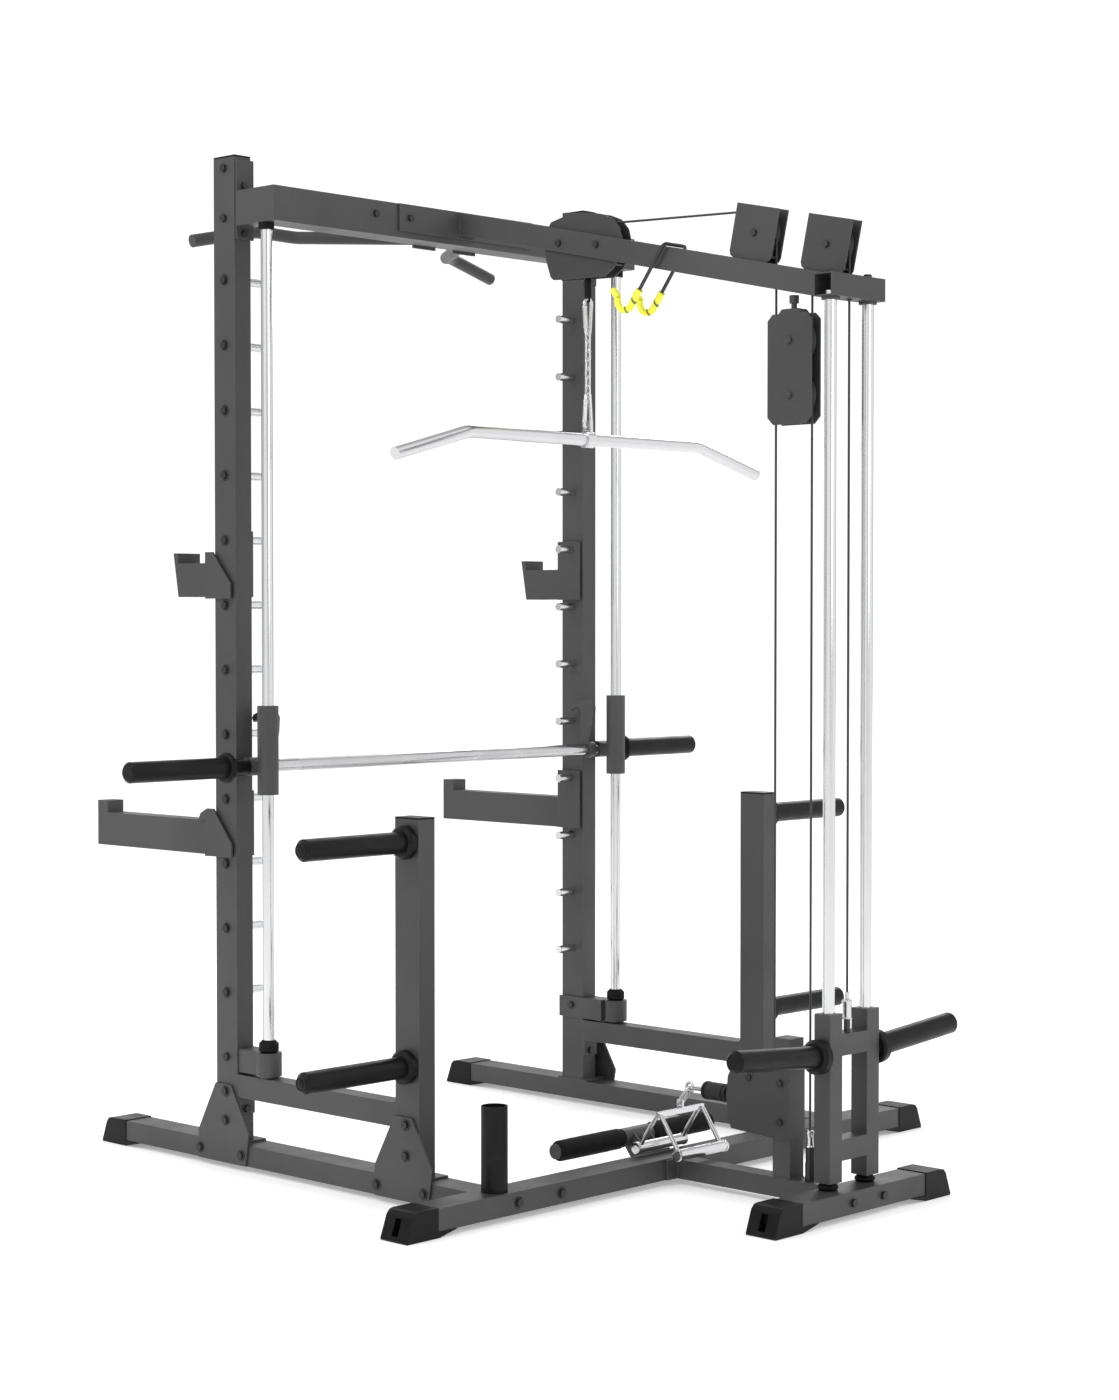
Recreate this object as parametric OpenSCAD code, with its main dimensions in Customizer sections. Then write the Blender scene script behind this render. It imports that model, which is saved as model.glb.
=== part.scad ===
// Power cage with a guided lifting bar, a cable tower and plate storage posts.
// X runs across the cage, Y from the open front to the cable tower, Z up from the floor.

/* [Main sizes] */
// Height of the two uprights above the floor
cage_height = 2200; // [2100:10:2300]
// Width over the outer faces of the uprights
cage_width = 1150; // [1100:10:1200]
// Thickness of the frame tube walls
wall = 2.5; // [2:0.5:4]
// Radius of the chromed guide rods
rod_r = 12.5; // [10:0.5:15]
// Radius of the plate sleeves on posts, bar and carriage
sleeve_r = 22.5; // [20:0.5:25]

/* [Upright holes] */
// Height of the lowest hole
peg_first_z = 236.6; // [220:0.1:260]
// Spacing of the lock pegs up the uprights
peg_pitch = 141.3; // [130:0.1:150]
// Number of lock pegs above the lowest hole
peg_count = 12; // [8:1:12]

/* [Top beam] */
// Drop of the centre beam from front to back, in degrees
beam_tilt = 12.3; // [5:0.1:16]
// Groove radius of every pulley, to the cable centre
pulley_r = 47; // [40:1:50]

/* [Bar] */
// Height of the guided bar at rest
bar_z = 875; // [800:5:900]
// Turn of the latch hooks away from the pegs at rest
hook_open = 28; // [26:1:30]

/* [Output] */
// Sub-part to draw

/* [Hidden] */
$fn = 64;
fit = 0.05;          // running clearance between a shaft and its hole
gap = 0.4;           // clearance between parts that pass each other

// Tubes
tube_w = 45;         // narrow side of the frame tube
tube_d = 70;         // wide side of the frame tube
lift = 9;            // from the floor to the zero height of the dimensions below
base_gap = 3;        // underside of the base tubes above that zero
low_h = 45;
low_top = base_gap + low_h;
center_top = low_top - 4;
foot_t = 5;          // base plate under each post
post_z0 = low_top + foot_t;
half_w = cage_width / 2;
cross_out = 50;      // the rear crossmember reaches this much further on the left
rail_out = 25;       // the left rail stands this much further out than the right one
inner_w = half_w - tube_w;
mid_w = half_w - tube_w / 2;

// Positions along Y, measured from the upright row
up_front = -tube_d / 2;
up_back = tube_d / 2;
rail_front = -362;
cross_front = 752;
cross_back = cross_front + tube_d;
post_y = 576;
post_front = post_y - tube_d / 2;
post_top = 791;
rod_x = 557;
rod_y = 120;
tower_y = 1262;
tower_x = 61;
tower_back = 1310;
tower_front = tower_back - tube_d;
tower_half = 204;
cross_half = 724;
cage_y = -425;       // puts the middle of the whole part on the Z axis

// Top of the cage
arm_z0 = 2046;
arm_z1 = 2121;
arm_back = 165;
flange_t = 5;
beam_h = 50;
beam_w = 50;
beam_front = arm_back + flange_t;
tail_front = 1240;
tail_d = 46;
tail_z0 = 1837;
tail_h = 46;
tail_half = 88;
beam_top0 = 2121;    // beam top where it meets the crossbar

// Pulleys
pulley_w = 20;
pulley_rim = 51;
cable_r = 2.5;
plate_in = 13;       // inner face of every pulley plate
plate_t = 3;
guide_y = 480;       // front guide pulley
over_y = 592;        // pulley the front cable runs over
lat_y = over_y - pulley_r;
h2_y = tower_y - pulley_r;
block_y = h2_y - 2 * pulley_r;
h1_y = block_y - 2 * pulley_r;
lift_n = 56;         // height of the rear pulleys above the beam face
over_z = 2008;
guide_z = 2021;
block_hi = 1764;
block_lo = 1652;
low_y = block_y - 2 * pulley_r;
low_z = 244;

// Carriage and low pulley post
car_z0 = 63.5;
car_z1 = 404;
horn_z = 319;
horn_tilt = 4.5;
post_low_front = 1088;
post_low_back = 1133;

frame_paint = [0.33, 0.34, 0.36];
cap_black = [0.13, 0.13, 0.14];
rubber_black = [0.1, 0.1, 0.1];
chrome = [0.82, 0.83, 0.85];
dark_steel = [0.22, 0.22, 0.23];
hook_green = [0.8, 0.85, 0.25];

module at_cage() translate([0, cage_y, lift]) children();
module both() { children(); mirror([1, 0, 0]) children(); }

// Solid and hollow boxes given by their two corners
module block(a, b) translate(a) cube(b - a);
module tube_x(a, b, t = wall) difference() {
    block(a, b);
    block(a + [-1, t, t], b + [1, -t, -t]);
}
module tube_y(a, b, t = wall) difference() {
    block(a, b);
    block(a + [t, -1, t], b + [-t, 1, -t]);
}
module tube_z(a, b, t = wall) difference() {
    block(a, b);
    block(a + [t, t, -1], b + [-t, -t, 1]);
}

// Round bars along each axis
module bar_x(x0, x1, y, z, r) translate([x0, y, z]) rotate([0, 90, 0]) cylinder(h = x1 - x0, r = r);
module bar_y(x, y0, y1, z, r) translate([x, y0, z]) rotate([-90, 0, 0]) cylinder(h = y1 - y0, r = r);
module bar_z(x, y, z0, z1, r) translate([x, y, z0]) cylinder(h = z1 - z0, r = r);
module hex_x(x0, x1, y, z, r) translate([x0, y, z]) rotate([0, 90, 0]) cylinder(h = x1 - x0, r = r, $fn = 6);

// Height of the sloping beam's top face at a distance from the uprights
function beam_z(y) = beam_top0 - (y - beam_front) * tan(beam_tilt);
function on_top_z(y) = beam_z(y - lift_n * sin(beam_tilt)) + lift_n * cos(beam_tilt);
h1_z = on_top_z(h1_y);
h2_z = on_top_z(h2_y);
module on_beam(y) translate([0, y, beam_z(y)]) rotate([-beam_tilt, 0, 0]) children();

// Bolts: [face position, length into the frame]; the head sits on the +X face
bolt_r = 5;
head_r = 9;
head_h = 6;
function peg_z(k) = peg_first_z + k * peg_pitch;
gusset_t = 5;
post_gusset = [[-88, 26], [52, 26], [0, 97], [0, 161]];
module side_bolt(x, y, z, depth) {
    hex_x(x, x + head_h, y, z, head_r);
    bar_x(x - depth, x, y, z, bolt_r);
}
module side_bolt_cut(x, y, z, depth) bar_x(x - depth - 1, x + 1, y, z, bolt_r + fit);
module gusset_bolts(out, cut = false) for (y0 = [0, post_y], p = post_gusset)
    if (cut) side_bolt_cut(half_w + out + gusset_t, y0 + p[0], p[1], 20 + out);
    else side_bolt(half_w + out + gusset_t, y0 + p[0], p[1], 20 + (p[0] == 0 ? out : 0));

// ---------------------------------------------------------------- base frame
module side_rail(out) difference() {
    tube_y([half_w + out - tube_d, rail_front, base_gap], [half_w + out, cross_front, low_top]);
    gusset_bolts(out, true);
    for (y0 = [0, post_y]) foot_bolt(y0, out, true);
}
module side_rails() color(frame_paint) at_cage() {
    side_rail(0);
    mirror([1, 0, 0]) side_rail(rail_out);
}

module cross_bolts(cut = false) for (x = [tube_w * 8 + 15, 500])
    translate([x, cross_back, base_gap + low_h / 2]) rotate([-90, 0, 0]) {
        translate([0, 0, -12 - (cut ? 1 : 0)]) cylinder(h = 12 + (cut ? 2 : 0), r = bolt_r + (cut ? fit : 0));
        if (!cut) cylinder(h = head_h, r = head_r, $fn = 6);
    }
module rear_crossmember() color(frame_paint) at_cage() difference() {
    tube_x([-cross_half - cross_out, cross_front, base_gap], [cross_half, cross_back, low_top]);
    both() cross_bolts(true);
}
module center_rail() color(frame_paint) at_cage() {
    tube_y([-tube_w / 2, cross_back + flange_t, base_gap], [tube_w / 2, tower_front, center_top]);
    block([-55, cross_back, base_gap], [55, cross_back + flange_t, low_top - 2]);
}
module tower_bolts(cut = false) for (x = [-60, 40])
    translate([x, tower_back, base_gap + low_h / 2]) rotate([-90, 0, 0]) {
        translate([0, 0, -12 - (cut ? 1 : 0)]) cylinder(h = 12 + (cut ? 2 : 0), r = bolt_r + (cut ? fit : 0));
        if (!cut) cylinder(h = head_h, r = head_r, $fn = 6);
    }
module tower_base() color(frame_paint) at_cage() difference() {
    tube_x([-tower_half, tower_front, base_gap], [tower_half, tower_back, low_top]);
    tower_bolts(true);
}

// Rubber foot: a block that carries the tube end, with a ramp under the tube and a plug inside it
cap_len = 87;
cap_side = 2;
ramp = 52;
module foot_cap() {
    half = tube_d / 2;
    top = low_top + 2;
    difference() {
        translate([-half - cap_side, 0, 0]) rotate([90, 0, 90]) linear_extrude(tube_d + 2 * cap_side)
            polygon([[0, -lift], [cap_len - 2, -lift], [cap_len, 3 - lift], [cap_len - 17, top - 10],
                     [cap_len - 25, top - 2], [cap_len - 33, top], [0, top], [0, base_gap - gap],
                     [-ramp, base_gap - gap]]);
        block([-9, cap_len - 26, 2], [9, cap_len + 1, 36]);
    }
    block([-half + wall + gap, -30, base_gap + wall + gap], [half - wall - gap, 0, low_top - wall - gap]);
}
module foot_caps() color(cap_black) at_cage() {
    for (x = [half_w - tube_d / 2, -half_w - rail_out + tube_d / 2])
        translate([x, rail_front, 0]) mirror([0, 1, 0]) foot_cap();
    translate([cross_half, (cross_front + cross_back) / 2, 0]) rotate([0, 0, -90]) foot_cap();
    translate([-cross_half - cross_out, (cross_front + cross_back) / 2, 0]) rotate([0, 0, 90]) foot_cap();
    both() translate([tower_half, (tower_front + tower_back) / 2, 0]) rotate([0, 0, -90]) foot_cap();
}

// ---------------------------------------------------------------- uprights
module upright(out) difference() {
    tube_z([inner_w, up_front, post_z0], [half_w, up_back, cage_height - 4]);
    gusset_bolts(out, true);
    for (k = [0 : peg_count]) bar_x(inner_w - 1, half_w + 1, 0, peg_z(k), peg_shank_r + fit);
    for (z = arm_bolt_z) side_bolt_cut(half_w, 0, z, 12);
    arm_flange_bolts(true);
    brace_bolts(true);
}
arm_bolt_z = [2066, 2174];
module uprights() color(frame_paint) at_cage() {
    upright(0);
    mirror([1, 0, 0]) upright(rail_out);
}

// Plastic plug in the open top of a tube
module tube_cap(y0, top) {
    block([inner_w, y0, top - 4], [half_w, y0 + tube_d, top]);
    block([inner_w + wall + gap, y0 + wall + gap, top - 20], [half_w - wall - gap, y0 + tube_d - wall - gap, top - 4]);
}
module tube_caps() color(cap_black) at_cage() both() {
    tube_cap(up_front, cage_height);
    tube_cap(post_front, post_top);
}

// Lock pegs pass through the uprights: chromed sleeve inside the cage, bolt head outside
peg_r = 9.5;
peg_shank_r = 6;
peg_len = 52;
module lock_pegs() color(chrome) at_cage() both() {
    for (k = [1 : peg_count]) {
        bar_x(inner_w - peg_len, inner_w, 0, peg_z(k), peg_r);
        bar_x(inner_w, half_w, 0, peg_z(k), peg_shank_r);
        hex_x(half_w, half_w + head_h, 0, peg_z(k), head_r);
    }
}

module gusset_plate(y0, out) difference() {
    union() {
        translate([half_w + out, y0, 0]) rotate([90, 0, 90]) linear_extrude(gusset_t)
            polygon([[-94, base_gap], [66, base_gap], [78, 74], [18, 176], [-34, 176], [-94, 66]]);
        if (out > 0) for (z = [97, 161]) bar_x(half_w, half_w + out, y0, z, head_r + 1);
    }
    gusset_bolts(out, true);
}
// Base plate between a post and its rail, bolted down beside the post
module foot_bolt(y0, out, cut = false) translate([out > 0 ? half_w + 13 : inner_w - 13, y0 + 6, 0]) {
    translate([0, 0, low_top - 8]) cylinder(h = 8 + foot_t + (cut ? 1 : 0), r = bolt_r + (cut ? fit : 0));
    if (!cut) translate([0, 0, post_z0]) cylinder(h = head_h, r = head_r, $fn = 6);
}
module foot_plate(y0, out) difference() {
    block([half_w + out - tube_d, y0 - 50, low_top], [half_w + out, y0 + 48, post_z0]);
    foot_bolt(y0, out, true);
}
module corner_plates() color(frame_paint) at_cage() for (y0 = [0, post_y]) {
    gusset_plate(y0, 0);
    foot_plate(y0, 0);
    mirror([1, 0, 0]) {
        gusset_plate(y0, rail_out);
        foot_plate(y0, rail_out);
    }
}

// ---------------------------------------------------------------- storage posts
peg_levels = [280, 740];
peg_tip = 862;
module storage_post(out) difference() {
    tube_z([inner_w, post_front, post_z0], [half_w, post_front + tube_d, post_top - 4]);
    gusset_bolts(out, true);
    brace_bolts(true);
}
module storage_posts() color(frame_paint) at_cage() {
    storage_post(0);
    mirror([1, 0, 0]) storage_post(rail_out);
}
module collar(r_in, r_out, len) rotate_extrude()
    polygon([[r_in, 0], [r_out - 4, 0], [r_out, 4], [r_out, len - 7], [r_out - 7, len], [r_in, len]]);

// Round sleeve for plates with a rubber collar at its root, along +Z
module plate_sleeve(root, len, collar_z, collar_len) {
    neck = sleeve_r - 2.5;
    land = collar_z + collar_len;
    rotate_extrude() polygon([[0, root], [neck, root], [neck, land], [sleeve_r, land],
                              [sleeve_r, len - 8], [sleeve_r - 8, len], [0, len]]);
    translate([0, 0, collar_z]) collar(neck + fit, 35, collar_len);
}
module storage_pegs() color(dark_steel) at_cage() both() for (z = peg_levels)
    translate([half_w, post_y, z]) rotate([90, 0, 90]) plate_sleeve(0, peg_tip - half_w, 0.1, 22);
brace_z = 151;
brace_bolt_z = 124;
module brace_bolts(cut = false) for (y = [up_back, post_front]) {
    r = bolt_r + (cut ? fit : 0);
    bar_y(mid_w, y == up_back ? y - 12 : y - flange_t, y == up_back ? y + flange_t : y + 12, brace_bolt_z, r);
    if (!cut) translate([mid_w, y == up_back ? y + flange_t : y - flange_t - head_h, brace_bolt_z])
        rotate([-90, 0, 0]) cylinder(h = head_h, r = head_r, $fn = 6);
}
module side_brace() color(frame_paint) at_cage() difference() {
    union() {
        tube_y([inner_w, up_back + flange_t, brace_z], [half_w, post_front - flange_t, brace_z + 50]);
        for (y = [up_back, post_front - flange_t])
            block([inner_w, y, brace_bolt_z - 12], [half_w, y + flange_t, brace_z + 50]);
    }
    brace_bolts(true);
}
module side_braces() both() side_brace();

// ---------------------------------------------------------------- bar guide rods
bracket_z0 = 206;
bracket_z1 = 257;
ring_h = 4;
rod_z0 = bracket_z0 - ring_h;
module guide_rods() color(chrome) at_cage() both() bar_z(rod_x, rod_y, rod_z0, arm_z0, rod_r);

module arm_flange_bolts(cut = false) for (z = [2030, 2134])
    translate([mid_w, up_back + flange_t, z]) rotate([-90, 0, 0]) {
        translate([0, 0, -16 - (cut ? 1 : 0)]) cylinder(h = 16 + (cut ? 2 : 0), r = bolt_r + (cut ? fit : 0));
        if (!cut) cylinder(h = head_h, r = head_r - 1, $fn = 6);
    }
module rod_top_arm() difference() {
    union() {
        block([inner_w - 5, up_back, 2018], [half_w - 2, up_back + flange_t, 2190]);
        tube_y([inner_w, up_back + flange_t, arm_z0], [half_w, arm_back - 3, arm_z1]);
        block([inner_w, arm_back - 3, arm_z0], [half_w, arm_back, arm_z1]);
    }
    arm_flange_bolts(true);
}

module rod_bottom_bracket() difference() {
    union() {
        block([inner_w - 5, up_front - 6, bracket_z0], [inner_w, up_back + 20, bracket_z1]);
        block([inner_w - 5, up_back, bracket_z0], [half_w - 3, rod_y - 20, bracket_z1]);
        bar_z(rod_x, rod_y, bracket_z0, bracket_z1, 28);
        bar_z(rod_x, rod_y, rod_z0, bracket_z0, 20);
    }
    bar_z(rod_x, rod_y, rod_z0 - 1, bracket_z1 + 1, rod_r);
    bar_x(inner_w - 6, inner_w + 1, 0, peg_z(0), peg_shank_r + fit);
}
module rod_brackets() color(frame_paint) at_cage() both() {
    rod_top_arm();
    rod_bottom_bracket();
}

// Bushings under the top arms, rubber stops above the bottom brackets and on the tower rods
module rod_bumpers() color(cap_black) at_cage() both() {
    translate([tower_x, tower_y, low_top]) collar(rod_r + fit, 21, 15);
    translate([rod_x, rod_y, arm_z0 - 15]) rotate_extrude()
        polygon([[rod_r, 0], [rod_r + 4.5, 0], [rod_r + 4.5, 15], [rod_r, 15]]);
    translate([rod_x, rod_y, bracket_z1]) collar(rod_r, rod_r + 9, 27);
}

// ---------------------------------------------------------------- top frame
module crossbar() color(frame_paint) at_cage() difference() {
    tube_x([-inner_w, arm_back - tube_d, arm_z0], [inner_w, arm_back, arm_z1]);
    top_flange_bolts(true);
}
module top_flange_bolts(cut = false) both() for (x = [180, 279])
    translate([x, arm_back + (x < flange_half ? flange_t : 0), 2091]) rotate([-90, 0, 0]) {
        translate([0, 0, -14 - (cut ? 1 : 0)]) cylinder(h = 14 + (cut ? 2 : 0), r = bolt_r + (cut ? fit : 0));
        if (!cut) cylinder(h = head_h, r = head_r - 1, $fn = 6);
    }
flange_half = 212;

// Two bent handles welded to the front of the crossbar
grip_r = 14.5;
pull_pts = [[50, arm_back - tube_d + 14, 2064], [240, -150, 2072], [312, -211, 2085], [476, -234, 2049]];
module rod_between(a, b, r) {
    d = b - a;
    len = norm(d);
    translate(a) rotate([0, acos(d[2] / len), atan2(d[1], d[0])]) cylinder(h = len, r = r);
}
function unit(v) = v / norm(v);
function dir(p, i) = unit(p[i + 1] - p[i]);
function turn(p, i) = acos(dir(p, i - 1) * dir(p, i));
function set_back(p, i, bend) = i == 0 || i == len(p) - 1 ? 0 : bend * tan(turn(p, i) / 2);
// Round bar along a line of points with its corners rolled to one bend radius
seam = 0.01;
module bent_rod(p, bend, r) {
    for (i = [0 : len(p) - 2])
        rod_between(p[i] + dir(p, i) * (set_back(p, i, bend) + (i > 0 ? seam : 0)),
                    p[i + 1] - dir(p, i) * (set_back(p, i + 1, bend) + (i < len(p) - 2 ? seam : 0)), r);
    for (i = [1 : len(p) - 2]) {
        u = dir(p, i - 1);
        start = p[i] - u * set_back(p, i, bend);
        n = unit(dir(p, i) - u * (dir(p, i) * u));
        out = -n;
        up = cross(out, u);
        center = start + n * bend;
        multmatrix([[out[0], u[0], up[0], center[0]], [out[1], u[1], up[1], center[1]],
                    [out[2], u[2], up[2], center[2]], [0, 0, 0, 1]])
            rotate_extrude(angle = turn(p, i)) translate([bend, 0]) circle(r = r, $fn = 32);
    }
}
module pull_handle() {
    difference() {
        bent_rod(pull_pts, 60, grip_r);
        block([0, arm_back - tube_d, 2000], [200, arm_back, 2200]);
    }
    difference() {
        block([30, arm_back - tube_d - 6, 2040], [98, arm_back - tube_d, 2100]);
        rod_between(pull_pts[0], pull_pts[1], grip_r + 0.02);
    }
}
module pull_up_bar() color(dark_steel) at_cage() both() pull_handle();

beam_len = (tail_front - beam_front) / cos(beam_tilt);
// Slot through the top and bottom walls for a pulley, and holes for its cable
module beam_slot(y0, y1, half) block([-half, y0, 1700], [half, y1, 2200]);
module top_beam() color(frame_paint) at_cage() difference() {
    union() {
        block([-flange_half, arm_back, 2060], [flange_half, beam_front, beam_top0]);
        intersection() {
            block([-beam_w, beam_front, 1700], [beam_w, tail_front, 2200]);
            translate([0, beam_front, beam_top0]) rotate([-beam_tilt, 0, 0]) difference() {
                block([-beam_w / 2, -40, -beam_h], [beam_w / 2, beam_len + 40, 0]);
                block([-beam_w / 2 + wall, -41, -beam_h + wall], [beam_w / 2 - wall, beam_len + 41, -wall]);
            }
        }
    }
    beam_slot(416, 664, plate_in + plate_t + 1);
    beam_slot(h1_y + pulley_r - 14, h1_y + pulley_r + 14, 8);
    beam_slot(h2_y - pulley_r - 14, h2_y - pulley_r + 14, 8);
    top_flange_bolts(true);
    for (p = front_axles) bar_x(-beam_w, beam_w, p[0], p[1], axle_r + fit);
}
axle_r = 5;
front_axles = [[guide_y, guide_z], [over_y, over_z]];
rear_axles = [[h1_y, h1_z], [h2_y, h2_z]];

module tower_crosspiece() color(frame_paint) at_cage() difference() {
    union() {
        tube_x([-tail_half, tail_front, tail_z0], [tail_half, tail_front + tail_d, tail_z0 + tail_h]);
        for (s = [-1, 1]) bar_z(s * tower_x, tower_y, tail_z0 - 6, tail_z0, rod_r + 6);
    }
    for (s = [-1, 1]) bar_z(s * tower_x, tower_y, tail_z0 - 7, tail_z0 + 12, rod_r);
    bar_z(0, tower_y, tail_z0 - 1, tail_z0 + tail_h + 1, 9);
}
module tower_rods() color(chrome) at_cage() for (s = [-1, 1])
    bar_z(s * tower_x, tower_y, low_top, tail_z0 + 12, rod_r);
module tower_bumpers() color(rubber_black) at_cage() for (s = [-1, 1])
    translate([s * tower_x, tower_y, low_top]) collar(rod_r + fit, 21, 15);

// ---------------------------------------------------------------- pulleys
module plate_yz(x, pts, t = plate_t) translate([x, 0, 0]) rotate([90, 0, 90]) linear_extrude(t) polygon(pts);
front_spacers = [[466, 1956], [536, 2016], [634, 1964]];
module front_plate_cut() for (p = front_axles) bar_x(-beam_w, beam_w, p[0], p[1], axle_r + fit);
module front_pulley_plates() difference() {
    union() {
        for (x = [-plate_in - plate_t, plate_in])
            plate_yz(x, [[430, 1997], [447, 1950], [456, 1943], [608, 1938], [636, 1955], [654, 1985],
                         [660, 2012], [652, 2040], [631, 2062], [600, 2074], [575, 2079], [491, 2088],
                         [484, 2079], [448, 2071], [434, 2050]]);
        for (p = front_spacers) bar_x(-plate_in, plate_in, p[0], p[1], 4);
    }
    front_plate_cut();
}
rear_half = 57;
rear_h = 112;
module rear_plate_pair() for (x = [-plate_in - plate_t, plate_in])
    translate([x, 0, 0]) rotate([90, 0, 90]) linear_extrude(plate_t)
        polygon([[-rear_half + 12, 0], [rear_half - 12, 0], [rear_half - 4, 4], [rear_half, 12], [rear_half, rear_h],
                 [-rear_half, rear_h], [-rear_half, 12], [-rear_half + 4, 4]]);
module rear_pulley_plates() difference() {
    for (p = rear_axles) on_beam(p[0] - lift_n * sin(beam_tilt)) {
        rear_plate_pair();
        for (s = [-1, 1]) bar_x(-plate_in, plate_in, s * 47, 12, 3);
    }
    for (p = rear_axles) bar_x(-40, 40, p[0], p[1], axle_r + fit);
    block([-40, tail_front, 1800], [40, tail_front + 60, tail_z0 + tail_h + 0.5]);
}
module axle(y, z, half) {
    bar_x(-half, half, y, z, axle_r);
    hex_x(half, half + 5, y, z, 8);
    hex_x(-half - 5, -half, y, z, 8);
}
module pulley_axles() color(dark_steel) at_cage() {
    for (p = front_axles) axle(p[0], p[1], beam_w / 2);
    for (p = rear_axles) axle(p[0], p[1], plate_in + plate_t);
    axle(low_y, low_z, tube_w / 2 + 4);
}
// Grooved wheel on the X axis
module pulley() rotate([90, 0, 90]) rotate_extrude() {
    g = pulley_r - cable_r;
    h = pulley_w / 2;
    polygon([[axle_r + fit, -h], [14, -h], [16, -h + 3], [38, -h + 3], [40, -h], [pulley_rim, -h],
             [pulley_rim, -h + 3], [g + 2, -3.4], [g - 0.4, -2], [g - 0.4, 2], [g + 2, 3.4],
             [pulley_rim, h - 3], [pulley_rim, h], [40, h], [38, h - 3], [16, h - 3], [14, h], [axle_r + fit, h]]);
}
module pulley_at(y, z) color(cap_black) at_cage() translate([0, y, z]) pulley();
module guide_pulley() pulley_at(guide_y, guide_z);
module over_pulley() pulley_at(over_y, over_z);
module rear_pulley_1() pulley_at(h1_y, h1_z);
module rear_pulley_2() pulley_at(h2_y, h2_z);
module block_pulley_upper() pulley_at(block_y, block_hi);
module block_pulley_lower() pulley_at(block_y, block_lo);
module low_pulley() pulley_at(low_y, low_z);

module pulley_plates() color(frame_paint) at_cage() {
    front_pulley_plates();
    rear_pulley_plates();
    low_pulley_plates();
}

// Floating double block
block_axle_pts = [[block_y, block_hi], [block_y, block_lo]];
module block_plates() difference() {
    union() {
        for (x = [-plate_in - plate_t, plate_in])
            plate_yz(x, [[block_y - 57, 1608], [block_y - 57, 1806], [block_y - 44, 1819], [block_y - 28, 1819],
                         [block_y - 20, 1828], [block_y + 20, 1828], [block_y + 28, 1819],
                         [block_y + 44, 1819], [block_y + 57, 1806], [block_y + 57, 1608],
                         [block_y + 42, 1593], [block_y - 42, 1593]]);
        block([-plate_in, block_y - 20, 1820], [plate_in, block_y + 20, 1828]);
        bar_z(0, block_y, 1828, 1840, 6);
        bar_z(0, block_y, 1840, 1856, 10);
    }
    for (p = block_axle_pts) bar_x(-40, 40, p[0], p[1], axle_r + fit);
}
module floating_block() color(frame_paint) at_cage() {
    block_plates();
    for (p = block_axle_pts) axle(p[0], p[1], plate_in + plate_t);
}

// ---------------------------------------------------------------- low pulley
low_post_top = 330;
module low_pulley_post() color(frame_paint) at_cage() difference() {
    union() {
        tube_z([-tube_w / 2, post_low_front, center_top], [tube_w / 2, post_low_back, low_post_top]);
        block([-tube_w / 2, post_low_front, low_post_top], [tube_w / 2, post_low_back, low_post_top + 3]);
    }
    for (z = [160, 240]) bar_x(-40, 40, 1110, z, bolt_r + fit);
}
module low_pulley_plates() difference() {
    for (x = [-tube_w / 2 - 4, tube_w / 2])
        plate_yz(x, [[980, 131], [post_low_back, 122], [post_low_back, 272], [1000, 272], [982, 262],
                     [970, 240], [966, 200], [970, 150]], 4);
    bar_x(-60, 60, low_y, low_z, axle_r + fit);
    for (z = [160, 240]) bar_x(-60, 60, 1110, z, bolt_r + fit);
}

// Fixed end of the row cable on the centre rail
anchor_z = [81, 114];
module cable_anchor() {
    bar_z(0, block_y + pulley_r, center_top, anchor_z[0], 10);
    bar_z(0, block_y + pulley_r, anchor_z[0], anchor_z[1], 9);
}

// ---------------------------------------------------------------- weight carriage
car_half = 20;
module weight_carriage() color(frame_paint) at_cage() difference() {
    union() {
        for (s = [-1, 1]) block([s * tower_x - car_half, tower_y - car_half, car_z0],
                                [s * tower_x + car_half, tower_y + car_half, car_z1]);
        for (z = [106, 318]) tube_x([-tower_x + car_half, tower_y - car_half, z],
                                    [tower_x - car_half, tower_y + car_half, z + 43]);
        bar_z(0, tower_y, 361, 387, 7);
        bar_z(0, tower_y, 387, 425, 9);
    }
    for (s = [-1, 1]) {
        bar_z(s * tower_x, tower_y, car_z0 - 1, car_z1 + 1, rod_r + fit);
        bar_z(s * tower_x, tower_y, car_z0 + 24, car_z1 - 24, rod_r + 3.5);
    }
}
horn_x = tower_x + car_half;
horn_len = 280;
module on_horn() translate([horn_x, tower_y, horn_z]) rotate([0, -horn_tilt, 0]) rotate([90, 0, 90]) children();
module weight_horns() color(dark_steel) at_cage() both() difference() {
    on_horn() plate_sleeve(-5, horn_len, 4, 26);
    block([0, tower_y - 60, 200], [horn_x, tower_y + 60, 420]);
}

// ---------------------------------------------------------------- cables
module arc_x(y, z, r, a0, a1, rr = cable_r)
    translate([0, y, z]) rotate([90, 0, 90]) rotate([0, 0, a0])
        rotate_extrude(angle = a1 - a0) translate([r, 0]) circle(r = rr, $fn = 24);
module cable_z(y, z0, z1) bar_z(0, y, z0, z1, cable_r);
lat_top_z = 1940;
module cable_lat_drop() color(dark_steel) at_cage() cable_z(lat_y, lat_top_z, over_z);
run_tilt = atan2(over_z - h1_z, h1_y - over_y);
module cable_guides() color(dark_steel) at_cage() {
    arc_x(over_y, over_z, pulley_r, 90 - run_tilt, 180);
    rod_between([0, over_y + pulley_r * sin(run_tilt), over_z + pulley_r * cos(run_tilt)],
                [0, h1_y + pulley_r * sin(run_tilt), h1_z + pulley_r * cos(run_tilt)], cable_r);
    arc_x(h1_y, h1_z, pulley_r, 0, 90 - run_tilt);
    arc_x(h2_y, h2_z, pulley_r, 0, 180);
    arc_x(low_y, low_z, pulley_r, 270, 360);
}
module cable_block_front() color(dark_steel) at_cage() cable_z(block_y - pulley_r, block_hi, h1_z);
module cable_block_rear() color(dark_steel) at_cage() cable_z(block_y + pulley_r, block_hi, h2_z);
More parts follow.
